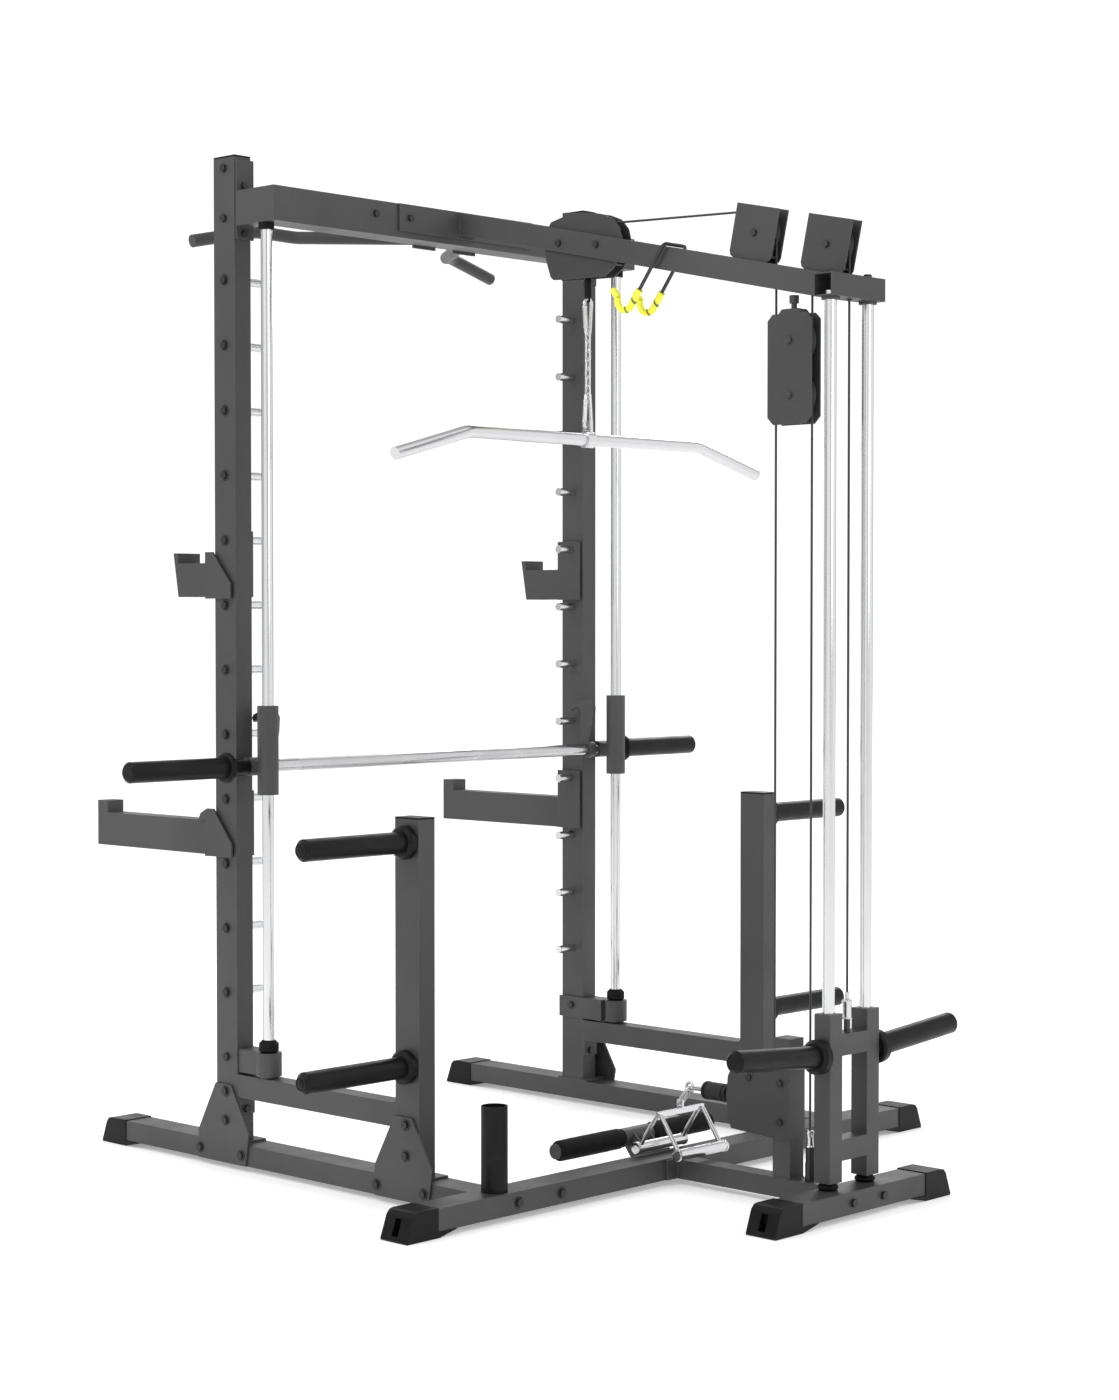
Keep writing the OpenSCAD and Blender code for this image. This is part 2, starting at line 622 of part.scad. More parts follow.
module cable_block_wraps() color(dark_steel) at_cage() {
    arc_x(block_y, block_hi, pulley_r, 180, 360);
    arc_x(block_y, block_lo, pulley_r, 0, 180);
}
module cable_carriage_run() color(dark_steel) at_cage() cable_z(tower_y, 425, h2_z);
module cable_row_front() color(dark_steel) at_cage() cable_z(block_y - pulley_r, low_z, block_lo);
module cable_row_rear() color(dark_steel) at_cage() cable_z(block_y + pulley_r, anchor_z[1], block_lo);
row_z = low_z - pulley_r;
module cable_row_end() color(dark_steel) at_cage() bar_y(0, 952 + gap, low_y, row_z, cable_r);

// ---------------------------------------------------------------- front cable fittings
wire_r = 3.2;
// Oval ring of round wire in the XZ plane, or the YZ plane when turned
module oval(h, w, r = wire_r) {
    for (s = [-1, 1]) {
        bar_z(s * w / 2, 0, -h / 2, h / 2, r);
        translate([0, 0, s * h / 2]) rotate([90, 0, 0]) rotate([0, 0, s > 0 ? 0 : 180])
            rotate_extrude(angle = 180) translate([w / 2, 0]) circle(r = r, $fn = 24);
    }
}
snap_z = [1857, 1651];
module lat_chain() color(chrome) at_cage() translate([0, lat_y, 0]) {
    bar_z(0, 0, 1896, lat_top_z, 8);
    for (z = snap_z) translate([0, 0, z]) oval(60, 17, 4);
    for (i = [0 : 3]) translate([0, 0, 1799.4 - i * 30.1]) rotate([0, 0, i % 2 == 0 ? 90 : 0]) oval(23, 13);
    block([-3, -7, 1886], [3, 7, 1896]);
}
lat_bar_z = 1588;
lat_r = 13.5;
lat_bend = 370;
lat_tip = [577, 1533];
module lat_bar() color(chrome) at_cage() translate([0, lat_y, 0]) {
    difference() {
        union() {
            bar_x(-14, 14, 0, lat_bar_z, lat_r + 4);
            block([-4, -12, lat_bar_z + lat_r - 3], [4, 12, lat_bar_z + 42]);
        }
        bar_x(-16, 16, 0, lat_bar_z, lat_r);
        bar_x(-6, 6, 0, lat_bar_z + 25, 5.8);
    }
    both() bent_rod([[0, 0, lat_bar_z], [lat_bend, 0, lat_bar_z], [lat_tip[0], 0, lat_tip[1]]], 90, lat_r);
}

// ---------------------------------------------------------------- row fittings
row_plate_y = 816;
row_eye_y = 843;
row_ear_z = 160;
row_link = [0, row_eye_y - row_plate_y, row_z - row_ear_z];
module row_hardware() color(chrome) at_cage() {
    bar_y(0, 889, 952, row_z, 19);
    bar_y(0, row_eye_y + 9, 889, row_z, 5);
    translate([0, row_eye_y, row_z]) rotate([90, 0, 90]) rotate_extrude()
        translate([10, 0]) circle(r = 3.2, $fn = 24);
    translate([0, row_plate_y, row_ear_z] + row_link / 2) rotate([-atan2(row_link[1], row_link[2]), 0, 0])
        oval(norm(row_link) - 16, 16, 3.4);
}
row_plate_z = 138;
row_grip_z = 66;
row_grip_dy = 58;
module row_handle() color(chrome) at_cage() translate([0, row_plate_y, 0]) {
    block([-75, -3, row_plate_z], [75, 3, row_plate_z + 12]);
    difference() {
        block([-2.5, -8, row_plate_z + 12], [2.5, 8, row_ear_z + 8]);
        bar_x(-4, 4, 0, row_ear_z, 4.6);
    }
    for (sx = [-1, 1], sy = [-1, 1])
        rod_between([sx * 68, sy * 5, row_plate_z + 4], [sx * 68, sy * row_grip_dy, row_grip_z], 5);
    for (sy = [-1, 1]) bar_x(-78, 78, sy * row_grip_dy, row_grip_z, 12);
}

// ---------------------------------------------------------------- hooks and safeties
// Both hang on a lock peg: cheek plates either side of the upright, joined by a front plate
cheek_t = 5;
liner = 4;
cheek_in = inner_w - liner - cheek_t;
cheek_out = half_w + liner;
front_in = up_front - gap;
module cheek(x, pts, zp) difference() {
    plate_yz(x, pts, cheek_t);
    bar_x(x - 1, x + cheek_t + 1, 0, zp, peg_r + 0.3);
}
j_peg = peg_z(8);
module j_hook() color(frame_paint) at_cage() {
    cheek(cheek_in, [[-43, 1243], [30, 1243], [30, j_peg + 20], [-43, j_peg + 20]], j_peg);
    plate_yz(cheek_out, [[-59, 1240], [26, 1240], [26, 1274], [-35, 1342], [-59, 1342]], cheek_t);
    block([cheek_in + cheek_t, front_in - 7, 1243], [cheek_out, front_in, 1336]);
    translate([cheek_in, 0, 0]) rotate([90, 0, 90]) linear_extrude(cheek_out + cheek_t - cheek_in)
        polygon([[front_in - 7, 1318], [-154, 1318], [-154, 1341], [-169, 1341], [-152, 1244], [front_in - 7, 1244]]);
}
module j_hook_right() j_hook();
module j_hook_left() mirror([1, 0, 0]) j_hook();

s_peg = peg_z(4);
arm_tip = -462;
module spotter_arm() color(frame_paint) at_cage() {
    cheek(cheek_in, [[-43, 677], [30, 677], [30, s_peg + 18], [-43, s_peg + 18]], s_peg);
    plate_yz(cheek_out, [[-63, 674], [27, 676], [27, 706], [-35, 779], [-56, 779], [-78, 768], [-86, 753], [-63, 753]], cheek_t);
    block([cheek_in + cheek_t, front_in - 7, 677], [cheek_out, front_in, 765]);
    tube_y([inner_w, arm_tip + 3, 677], [half_w, front_in - 7, 752]);
    block([inner_w, arm_tip, 677], [half_w, arm_tip + 3, 752]);
    block([inner_w, arm_tip, 752], [half_w, arm_tip + 36, 779]);
}
module spotter_arm_right() spotter_arm();
module spotter_arm_left() mirror([1, 0, 0]) spotter_arm();

// ---------------------------------------------------------------- guided bar
bar_y0 = 69;
bar_r = 14;
sleeve_in = 640;
sleeve_tip = 896;
module smith_bar() color(chrome) at_cage() bar_x(-sleeve_in, sleeve_in, bar_y0, bar_z, bar_r);
module smith_sleeves() color(dark_steel) at_cage() both() {
    translate([sleeve_in, bar_y0, bar_z]) rotate([90, 0, 90]) rotate_extrude()
        polygon([[0, 0], [sleeve_r, 0], [sleeve_r, sleeve_tip - sleeve_in - 5],
                 [sleeve_r - 5, sleeve_tip - sleeve_in], [0, sleeve_tip - sleeve_in]]);
    translate([sleeve_in - 24, bar_y0, bar_z]) rotate([90, 0, 90]) rotate_extrude()
        polygon([[bar_r, 0], [20, 0], [33, 12], [33, 20], [29, 24], [bar_r, 24]]);
    translate([sleeve_in - 64, bar_y0, bar_z]) rotate([90, 0, 90]) rotate_extrude()
        polygon([[bar_r, 0], [17, 0], [18, 2], [18, 38], [17, 40], [bar_r, 40]]);
}
// Latch hook: polar outline about the bar, mouth towards the front
hook_x = 502;
hook_t = 9;
hook_in = 107.3;
hook_out = 122;
function polar(r, a) = [r * cos(a), r * sin(a)];
hook_pts = concat(
    [for (a = [300 : 15 : 450]) polar(22, a)],
    [polar(45, 96), polar(80, 100), polar(110, 104), polar(hook_out, 110)],
    [for (a = [114 : 6 : 144]) polar(hook_out, a)],
    [polar(hook_out - 4, 147), polar(hook_in, 147)],
    [for (a = [143 : -4 : 131]) polar(hook_in, a)],
    [polar(100, 127.5), polar(88, 127.5), polar(80, 131), polar(50, 134), polar(24, 150)],
    [for (a = [180 : 15 : 285]) polar(22, a)]);
module smith_hooks() color(frame_paint) at_cage() both()
    translate([hook_x, bar_y0, bar_z]) rotate([-hook_open, 0, 0]) rotate([90, 0, 90]) difference() {
        union() {
            linear_extrude(hook_t) polygon(hook_pts);
            translate([0, 0, hook_t]) cylinder(h = 14, r = 19);
        }
        translate([0, 0, -1]) cylinder(h = 30, r = bar_r);
    }
runner_r = 23;
runner_half = 96;
runner_z = 912;
module smith_carriage() difference() {
    union() {
        bar_z(rod_x, rod_y, runner_z - runner_half, runner_z + runner_half, runner_r);
        block([rod_x - 14, bar_y0, bar_z - 15], [rod_x + 14, rod_y - 16, bar_z + 15]);
        bar_x(rod_x - 16, rod_x + 16, bar_y0, bar_z, 20);
    }
    bar_z(rod_x, rod_y, runner_z - runner_half - 1, runner_z + runner_half + 1, rod_r + fit);
    bar_z(rod_x, rod_y, runner_z - runner_half + 40, runner_z + runner_half - 40, rod_r + 3);
    bar_x(rod_x - 20, rod_x + 20, bar_y0, bar_z, bar_r + fit);
}
module smith_carriages() color(frame_paint) at_cage() both() smith_carriage();

// ---------------------------------------------------------------- band hook on the beam
wire_x = 36;
band_y = 798;
band_r = 4;
module band_hook() color(dark_steel) at_cage() {
    top = beam_z(band_y) + band_r + 1.2;
    bent_rod([[wire_x, 729, 1898], [wire_x, band_y, top], [-wire_x, band_y, top], [-wire_x, 729, 1898]], 9, band_r);
}
tip_r = 7.5;
module band_hook_tips() color(hook_green) at_cage() both() {
    rod_between([wire_x, 729, 1898], [wire_x, 707, 1868], tip_r);
    translate([wire_x, 688, 1880]) rotate([90, 0, 90]) rotate([0, 0, 165]) rotate_extrude(angle = 165)
        translate([22.3, 0]) circle(r = tip_r, $fn = 24);
    rod_between([wire_x, 666.5, 1885.8], [wire_x, 653, 1904], tip_r);
}

// ---------------------------------------------------------------- footrest and bar holder
rest_y = 684;
rest_z = 73;
roller_r = 22.5;
module footrest() color(frame_paint) at_cage() {
    bar_x(-250, 250, rest_y, rest_z, 12);
    for (s = [-1, 1]) bar_x(s * 249 - 2, s * 249 + 2, rest_y, rest_z, 16);
    difference() {
        union() {
            bar_x(-44, 44, rest_y, rest_z, 20);
            for (x = [-25, 20]) plate_yz(x, [[rest_y - 10, 58], [rest_y - 6, 90], [rest_y + 12, 90],
                                             [cross_front - 5, 50], [cross_front - 5, base_gap + 4], [rest_y + 30, base_gap + 4]], 5);
            block([-40, cross_front - 5, base_gap], [40, cross_front, low_top + 2]);
        }
        bar_x(-60, 60, rest_y, rest_z, 11.98);
    }
}
module foot_rollers() color(rubber_black) at_cage() both()
    translate([47, rest_y, rest_z]) rotate([90, 0, 90]) rotate_extrude()
        polygon([[12 + fit, 0], [roller_r - 4, 0], [roller_r, 4], [roller_r, 194], [roller_r - 5, 199], [12 + fit, 199]]);
holder_x = 534;
module bar_holder() color(frame_paint) at_cage() difference() {
    bar_z(holder_x, 787, low_top, 221, 27);
    bar_z(holder_x, 787, low_top + 4, 222, 25.2);
}

module base_bolts(out) {
    gusset_bolts(out);
    for (y0 = [0, post_y]) foot_bolt(y0, out);
}
module frame_bolts() color(dark_steel) at_cage() {
    base_bolts(0);
    mirror([1, 0, 0]) base_bolts(rail_out);
    both() {
        brace_bolts();
        cross_bolts();
        for (z = arm_bolt_z) side_bolt(half_w, 0, z, 12);
        arm_flange_bolts();
        bar_x(inner_w - 5, half_w, 0, peg_z(0), peg_shank_r);
        hex_x(half_w, half_w + head_h, 0, peg_z(0), head_r);
        hex_x(inner_w - 5 - head_h, inner_w - 5, 0, peg_z(0), head_r);
    }
    tower_bolts();
    top_flange_bolts();
    cable_anchor();
    for (z = [160, 240]) {
        bar_x(-tube_w / 2 - 4, tube_w / 2 + 4, 1110, z, bolt_r);
        for (s = [-1, 1]) hex_x(s * (tube_w / 2 + 6.5) - 2.5, s * (tube_w / 2 + 6.5) + 2.5, 1110, z, head_r - 1);
    }
}

// ---------------------------------------------------------------- output
side_rails();
rear_crossmember();
center_rail();
tower_base();
foot_caps();
uprights();
tube_caps();
corner_plates();
storage_posts();
storage_pegs();
side_braces();
guide_rods();
rod_brackets();
rod_bumpers();
crossbar();
pull_up_bar();
top_beam();
tower_crosspiece();
tower_rods();
lock_pegs();
frame_bolts();
pulley_plates();
pulley_axles();
guide_pulley();
over_pulley();
rear_pulley_1();
rear_pulley_2();
floating_block();
block_pulley_upper();
block_pulley_lower();
low_pulley_post();
low_pulley();
weight_carriage();
weight_horns();
cable_guides();
cable_lat_drop();
cable_block_front();
cable_block_rear();
cable_block_wraps();
cable_row_front();
cable_row_rear();
cable_row_end();
cable_carriage_run();
lat_chain();
lat_bar();
row_hardware();
row_handle();
j_hook_right();
j_hook_left();
spotter_arm_right();
spotter_arm_left();
smith_bar();
smith_sleeves();
smith_hooks();
smith_carriages();
band_hook();
band_hook_tips();
footrest();
foot_rollers();
bar_holder();
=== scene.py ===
# Power cage with a guided lifting bar, a cable tower and plate storage posts: looks, light and camera.
import math

import bpy
import bmesh
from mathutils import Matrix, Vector


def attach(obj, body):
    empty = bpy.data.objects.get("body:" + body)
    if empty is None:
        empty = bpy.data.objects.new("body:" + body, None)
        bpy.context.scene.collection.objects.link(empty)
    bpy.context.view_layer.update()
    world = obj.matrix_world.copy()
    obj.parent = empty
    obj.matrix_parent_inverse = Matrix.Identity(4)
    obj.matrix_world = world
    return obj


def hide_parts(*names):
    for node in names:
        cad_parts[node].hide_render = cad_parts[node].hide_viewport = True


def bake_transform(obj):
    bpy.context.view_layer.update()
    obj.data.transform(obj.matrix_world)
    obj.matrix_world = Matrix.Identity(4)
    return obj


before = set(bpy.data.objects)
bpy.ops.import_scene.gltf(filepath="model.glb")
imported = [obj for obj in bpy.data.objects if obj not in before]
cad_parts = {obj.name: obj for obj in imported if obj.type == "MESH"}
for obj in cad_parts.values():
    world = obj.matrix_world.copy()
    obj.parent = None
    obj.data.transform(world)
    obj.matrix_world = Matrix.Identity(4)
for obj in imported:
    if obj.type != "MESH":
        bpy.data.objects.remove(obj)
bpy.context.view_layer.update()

scene = bpy.context.scene

# ---------------------------------------------------------------- places shared with the CAD part
CAGE_Y = -0.425                 # the cage's own zero along Y, in the shared frame
LIFT = 0.009                    # height of the cage's own zero above the floor


def at(x, y, z):
    """A point given in the cage's own millimetres, in the shared frame's metres."""
    return Vector((x / 1000, y / 1000 + CAGE_Y, z / 1000 + LIFT))


# Sizes and places of the cage in millimetres: x across, y back from the front uprights, z up
SIDES = (1, -1)                 # right and left
HALF_W = 575.0                  # outer face of the uprights
INNER_W = 530.0                 # inner face of the uprights
RAIL_OUT = 25.0                 # the left rail stands this much further out
GUSSET_T = 5.0                  # thickness of the gusset outside an upright
POST_Y = 576.0                  # storage posts
TOWER_Y = 1262.0                # cable tower and plate carriage
TOWER_ROD_X, TOWER_ROD_TOP = 61.0, 1883.0
LAT_Y = 545.0                   # cable and chain of the lat bar
LAT_STOP_Z = 1940.0             # top of the rubber stop above the chain
ROW_Z = 197.0                   # cable to the row handle
CARRIAGE_Z = 425.0              # where the lat cable ends on the plate carriage
SLEEVE_R = 22.5                 # plate sleeves of the storage posts and the carriage
BAR = (69.0, 875.0)             # y and z of the guided bar
PEG_FIRST, PEG_PITCH, PEG_COUNT = 236.6, 141.3, 12      # lowest peg, step, and pegs above it
RAIL_HALF_W, RAIL_TOP = 22.5, 44.0                      # centre rail
CROSSBAR_Y, CROSSBAR_LOW, CROSSBAR_TOP = 40.0, 2046.0, 2121.0
BEAM_FRONT, BEAM_BACK, BEAM_HALF_W = 170.0, 1240.0, 25.0    # sloping beam, crossbar to tower
BEAM_TILT = math.radians(12.3)


# ---------------------------------------------------------------- materials
class Tree:
    """A node tree, written with short calls."""

    def __init__(self, tree):
        self.tree = tree

    def add(self, kind, **settings):
        node = self.tree.nodes.new(kind)
        for key, value in settings.items():
            setattr(node, key, value)
        return node

    def link(self, a, b):
        self.tree.links.new(a, b)

    def feed(self, socket, value):
        """Give a socket a number, a colour or the output of another node."""
        if isinstance(value, (int, float)):
            socket.default_value = value
        elif isinstance(value, tuple):
            socket.default_value = (*value, 1.0)
        else:
            self.link(value, socket)

    def math(self, op, *values):
        node = self.add("ShaderNodeMath", operation=op)
        for socket, value in zip(node.inputs, values):
            self.feed(socket, value)
        return node.outputs[0]

    def split(self, vector):
        node = self.add("ShaderNodeSeparateXYZ")
        self.link(vector, node.inputs[0])
        return node.outputs


class Nodes(Tree):
    """A material's node tree, in the object's own metres."""

    def __init__(self, name):
        self.material = bpy.data.materials.new(name)
        self.material.use_nodes = True
        super().__init__(self.material.node_tree)
        self.tree.nodes.clear()
        self.out = self.add("ShaderNodeOutputMaterial")
        self.shader = self.add("ShaderNodeBsdfPrincipled")
        self.link(self.shader.outputs[0], self.out.inputs[0])
        self.place = self.add("ShaderNodeTexCoord").outputs["Object"]

    def noise(self, scale, detail=2.0, rough=0.5, stretch=None):
        node = self.add("ShaderNodeTexNoise")
        node.inputs["Scale"].default_value = scale
        node.inputs["Detail"].default_value = detail
        node.inputs["Roughness"].default_value = rough
        place = self.place
        if stretch:
            mapping = self.add("ShaderNodeMapping")
            mapping.inputs["Scale"].default_value = stretch
            self.link(place, mapping.inputs["Vector"])
            place = mapping.outputs[0]
        self.link(place, node.inputs["Vector"])
        return node.outputs["Fac"]

    def cells(self, scale, **settings):
        """Distance inside a pattern of irregular cells."""
        node = self.add("ShaderNodeTexVoronoi", **settings)
        node.inputs["Scale"].default_value = scale
        self.link(self.place, node.inputs["Vector"])
        return node.outputs["Distance"]

    def span(self, value, a, b, lo, hi):
        """Turn the range a to b into lo to hi."""
        node = self.add("ShaderNodeMapRange")
        node.inputs["From Min"].default_value = a
        node.inputs["From Max"].default_value = b
        node.inputs["To Min"].default_value = lo
        node.inputs["To Max"].default_value = hi
        self.link(value, node.inputs["Value"])
        return node.outputs[0]

    def mix(self, fac, a, b):
        node = self.add("ShaderNodeMix", data_type="RGBA")
        for index, value in ((0, fac), (6, a), (7, b)):     # 6 and 7 are the two colour sockets
            self.feed(node.inputs[index], value)
        return node.outputs[2]

    def tint(self, value, a, b, lo=0.3, hi=0.7):
        """Colour a where the value is below lo, colour b where it is above hi."""
        return self.mix(self.span(value, lo, hi, 0.0, 1.0), a, b)

    def bump(self, height, strength, distance, below=None):
        node = self.add("ShaderNodeBump")
        node.inputs["Strength"].default_value = strength
        node.inputs["Distance"].default_value = distance
        self.link(height, node.inputs["Height"])
        self.link(self.rounded() if below is None else below, node.inputs["Normal"])
        return node.outputs[0]

    def rounded(self):
        """Normal that turns smoothly over the corners, as a rolled or pressed edge does."""
        bevel = self.add("ShaderNodeBevel", samples=5)
        bevel.inputs["Radius"].default_value = 0.0016
        return bevel.outputs[0]

    def edge(self, radius):
        """1 along the corners of the mesh, 0 on its flats."""
        bevel = self.add("ShaderNodeBevel", samples=4)
        bevel.inputs["Radius"].default_value = radius
        flat = self.add("ShaderNodeNewGeometry")
        dot = self.add("ShaderNodeVectorMath", operation="DOT_PRODUCT")
        self.link(bevel.outputs[0], dot.inputs[0])
        self.link(flat.outputs["Normal"], dot.inputs[1])
        return self.span(dot.outputs["Value"], 0.98, 0.86, 0.0, 1.0)

    def finish(self, color, rough, normal=None, **others):
        """Drive the shader and give back the material; other sockets are named with underscores."""
        sockets = {"Base Color": color, "Roughness": rough}
        if normal is not None:
            sockets["Normal"] = normal
        for key, value in others.items():
            sockets[key.replace("_", " ")] = value
        for key, value in sockets.items():
            self.feed(self.shader.inputs[key], value)
        return self.material


def grey(value, blue=0.0):
    """A neutral colour, or one that is slightly blue."""
    return (value, value, value + blue)


def powder_coat(name, dark, light, worn, grain=850.0):
    """Charcoal powder coat: fine pebbled skin, faint mottling, rubbed corners."""
    n = Nodes(name)
    cloud = n.noise(2.6, 3.0)
    body = n.tint(cloud, dark, light, 0.35, 0.65)
    speck = n.mix(n.span(n.noise(grain * 1.6, 2.0), 0.45, 0.75, 0.0, 0.32), body, worn)
    rub = n.math("MULTIPLY", n.edge(0.0022), n.span(n.noise(46.0, 4.0, 0.7), 0.38, 0.66, 0.12, 0.75))
    rough = n.span(n.noise(9.0, 4.0, 0.6), 0.3, 0.7, 0.40, 0.56)
    skin = n.bump(n.noise(grain, 2.0, 0.55), 0.30, 0.0006)
    normal = n.bump(cloud, 0.04, 0.002, skin)
    return n.finish(n.mix(rub, speck, worn), rough, normal, Specular_IOR_Level=0.44)


def moulded(name, dark, light, rough_lo, rough_hi, grain, depth, specular):
    """Black moulded plastic or rubber with a fine leathered grain."""
    n = Nodes(name)
    mottle = n.noise(22.0, 4.0, 0.6)
    scuff = n.math("MULTIPLY", n.edge(0.003), n.span(n.noise(70.0, 3.0), 0.4, 0.7, 0.0, 0.5))
    color = n.mix(scuff, n.tint(mottle, dark, light), tuple(2.6 * c for c in light))
    rough = n.span(mottle, 0.3, 0.7, rough_lo, rough_hi)
    skin = n.bump(n.cells(grain, feature="DISTANCE_TO_EDGE"), 0.25, depth)
    normal = n.bump(n.noise(grain * 0.7, 3.0), 0.2, depth, skin)
    return n.finish(color, rough, normal, Specular_IOR_Level=specular)


def polished(name, color_a, color_b, rough_lo, rough_hi, stretch=(1.0, 1.0, 1.0), metallic=1.0, draw=900.0):
    """Chromed or drawn steel: fine drawing lines along the bar, handling marks, slight unevenness."""
    n = Nodes(name)
    lines = n.noise(draw, 2.0, 0.6, stretch)
    marks = n.noise(5.0, 5.0, 0.65)
    rough = n.math("ADD", n.span(marks, 0.3, 0.7, rough_lo, rough_hi), n.span(lines, 0.3, 0.7, -0.03, 0.05))
    return n.finish(n.tint(marks, color_a, color_b), rough, n.bump(lines, 0.02, 0.0001), Metallic=metallic)


def sleeve_black():
    """Plate sleeves: black coat with turning rings, rubbed grey where plates slide."""
    n = Nodes("sleeve_black_coat")
    rings = n.noise(1400.0, 1.0, 0.5, (1.0, 0.02, 0.02))
    rub = n.span(n.noise(30.0, 5.0, 0.7, (0.35, 1.0, 1.0)), 0.52, 0.78, 0.0, 0.5)
    color = n.mix(rub, grey(0.0045, 0.0005), grey(0.020, 0.001))
    rough = n.span(n.noise(18.0, 4.0), 0.3, 0.7, 0.30, 0.46)
    grain = n.bump(n.noise(900.0, 2.0), 0.18, 0.0004)
    return n.finish(color, rough, n.bump(rings, 0.12, 0.0003, grain), Specular_IOR_Level=0.17)


def cable_coat():
    """Plastic coated steel cable: the strands show through as a fine spiral."""
    n = Nodes("cable_coat")
    x, y, z = n.split(n.place)
    angle = n.math("ADD", n.math("MULTIPLY", n.math("ADD", y, z), 2200.0), n.math("MULTIPLY", x, 1500.0))
    twist = n.math("SINE", angle)
    color = n.tint(twist, grey(0.010, 0.001), grey(0.030, 0.002), -1.0, 1.0)
    return n.finish(color, n.span(twist, -1.0, 1.0, 0.34, 0.5), n.bump(twist, 0.35, 0.0004))


def dipped_green():
    """Dipped vinyl over the hook tips, with dark drip bands and small bubbles."""
    n = Nodes("dipped_vinyl")
    x, y, z = n.split(n.place)
    along = n.math("ADD", n.math("MULTIPLY", y, 210.0), n.math("MULTIPLY", z, 95.0))
    wave = n.math("SINE", n.math("ADD", along, n.math("MULTIPLY", n.noise(60.0, 2.0), 0.8)))
    band = n.math("MULTIPLY", n.span(wave, 0.80, 0.90, 0.0, 1.0), 0.9)
    lime = n.tint(n.noise(80.0, 3.0), (0.90, 0.88, 0.05), (0.80, 0.80, 0.04))
    rough = n.span(n.noise(50.0, 3.0), 0.3, 0.7, 0.26, 0.40)
    return n.finish(n.mix(band, lime, (0.06, 0.07, 0.02)), rough, n.bump(n.noise(420.0, 3.0), 0.25, 0.0006))


def foam():
    """Closed cell foam roller: open pores, soft sheen, slight sag marks."""
    n = Nodes("foam_skin")
    pore = n.cells(900.0)
    color = n.tint(pore, grey(0.011), grey(0.004), 0.1, 0.7)
    color = n.mix(n.span(n.noise(30.0, 4.0), 0.5, 0.8, 0.0, 0.5), color, grey(0.018))
    soft = n.bump(n.noise(45.0, 3.0), 0.25, 0.002)
    rough = n.span(pore, 0.0, 0.8, 0.62, 0.85)
    return n.finish(color, rough, n.bump(pore, 0.35, 0.0006, soft), Specular_IOR_Level=0.2)


def pulley_nylon():
    """Glass filled nylon wheel with turning marks."""
    n = Nodes("pulley_nylon")
    flow = n.noise(26.0, 4.0, 0.6)
    color = n.tint(flow, grey(0.014, 0.001), grey(0.024, 0.001), 0.35, 0.65)
    return n.finish(color, n.span(flow, 0.3, 0.7, 0.34, 0.5), n.bump(n.noise(1100.0, 2.0), 0.2, 0.0003))


def knurled_steel():
    """Bright bar with diamond knurling between its bare ends."""
    n = Nodes("knurled_bar_steel")
    x, y, z = n.split(n.place)
    axis = at(0, *BAR)
    turn = n.math("ARCTAN2", n.math("SUBTRACT", z, axis.z), n.math("SUBTRACT", y, axis.y))
    around, along = n.math("MULTIPLY", turn, 34.0), n.math("MULTIPLY", x, 2500.0)
    diamond = n.math("MAXIMUM", *(n.math("SINE", n.math(op, around, along)) for op in ("ADD", "SUBTRACT")))
    reach = n.math("ABSOLUTE", x)
    zone = n.math("MULTIPLY", n.span(reach, 0.118, 0.120, 0.0, 1.0), n.span(reach, 0.430, 0.432, 1.0, 0.0))
    marks = n.noise(16.0, 5.0, 0.65)
    color = n.tint(marks, grey(0.54, 0.01), grey(0.48, 0.01))
    rough = n.math("ADD", n.span(marks, 0.3, 0.7, 0.16, 0.24), n.math("MULTIPLY", zone, 0.10))
    return n.finish(color, rough, n.bump(n.math("MULTIPLY", diamond, zone), 0.12, 0.0003), Metallic=1.0)


def peg_steel():
    """Lock pegs: chromed sleeve inside the cage, black bolt head outside."""
    n = Nodes("peg_steel")
    x, y, z = n.split(n.place)
    outside = n.math("GREATER_THAN", n.math("ABSOLUTE", x), (INNER_W + 20) / 1000)
    marks = n.noise(60.0, 4.0, 0.6)
    color = n.mix(outside, n.tint(marks, (0.68, 0.685, 0.69), (0.60, 0.605, 0.61)), grey(0.040, 0.002))
    rough = n.math("ADD", n.span(marks, 0.3, 0.7, 0.16, 0.30), n.math("MULTIPLY", outside, 0.2))
    metallic = n.span(outside, 0.0, 1.0, 1.0, 0.7)
    return n.finish(color, rough, n.bump(n.noise(500.0, 2.0), 0.08, 0.0003), Metallic=metallic)


def row_fittings():
    """Rubber cable stop behind a plated eye and link."""
    n = Nodes("row_stop_and_link")
    x, y, z = n.split(n.place)
    stop = n.math("GREATER_THAN", y, at(0, 888.0, 0).y)
    marks = n.noise(60.0, 4.0, 0.6)
    color = n.mix(stop, n.tint(marks, grey(0.66, 0.01), grey(0.57, 0.01)), grey(0.006))
    rough = n.math("ADD", n.span(marks, 0.3, 0.7, 0.12, 0.24), n.math("MULTIPLY", stop, 0.42))
    ribs = n.math("MULTIPLY", n.math("SINE", n.math("MULTIPLY", y, 900.0)), stop)
    metallic = n.span(stop, 0.0, 1.0, 1.0, 0.0)
    return n.finish(color, rough, n.bump(ribs, 0.5, 0.0008), Metallic=metallic)


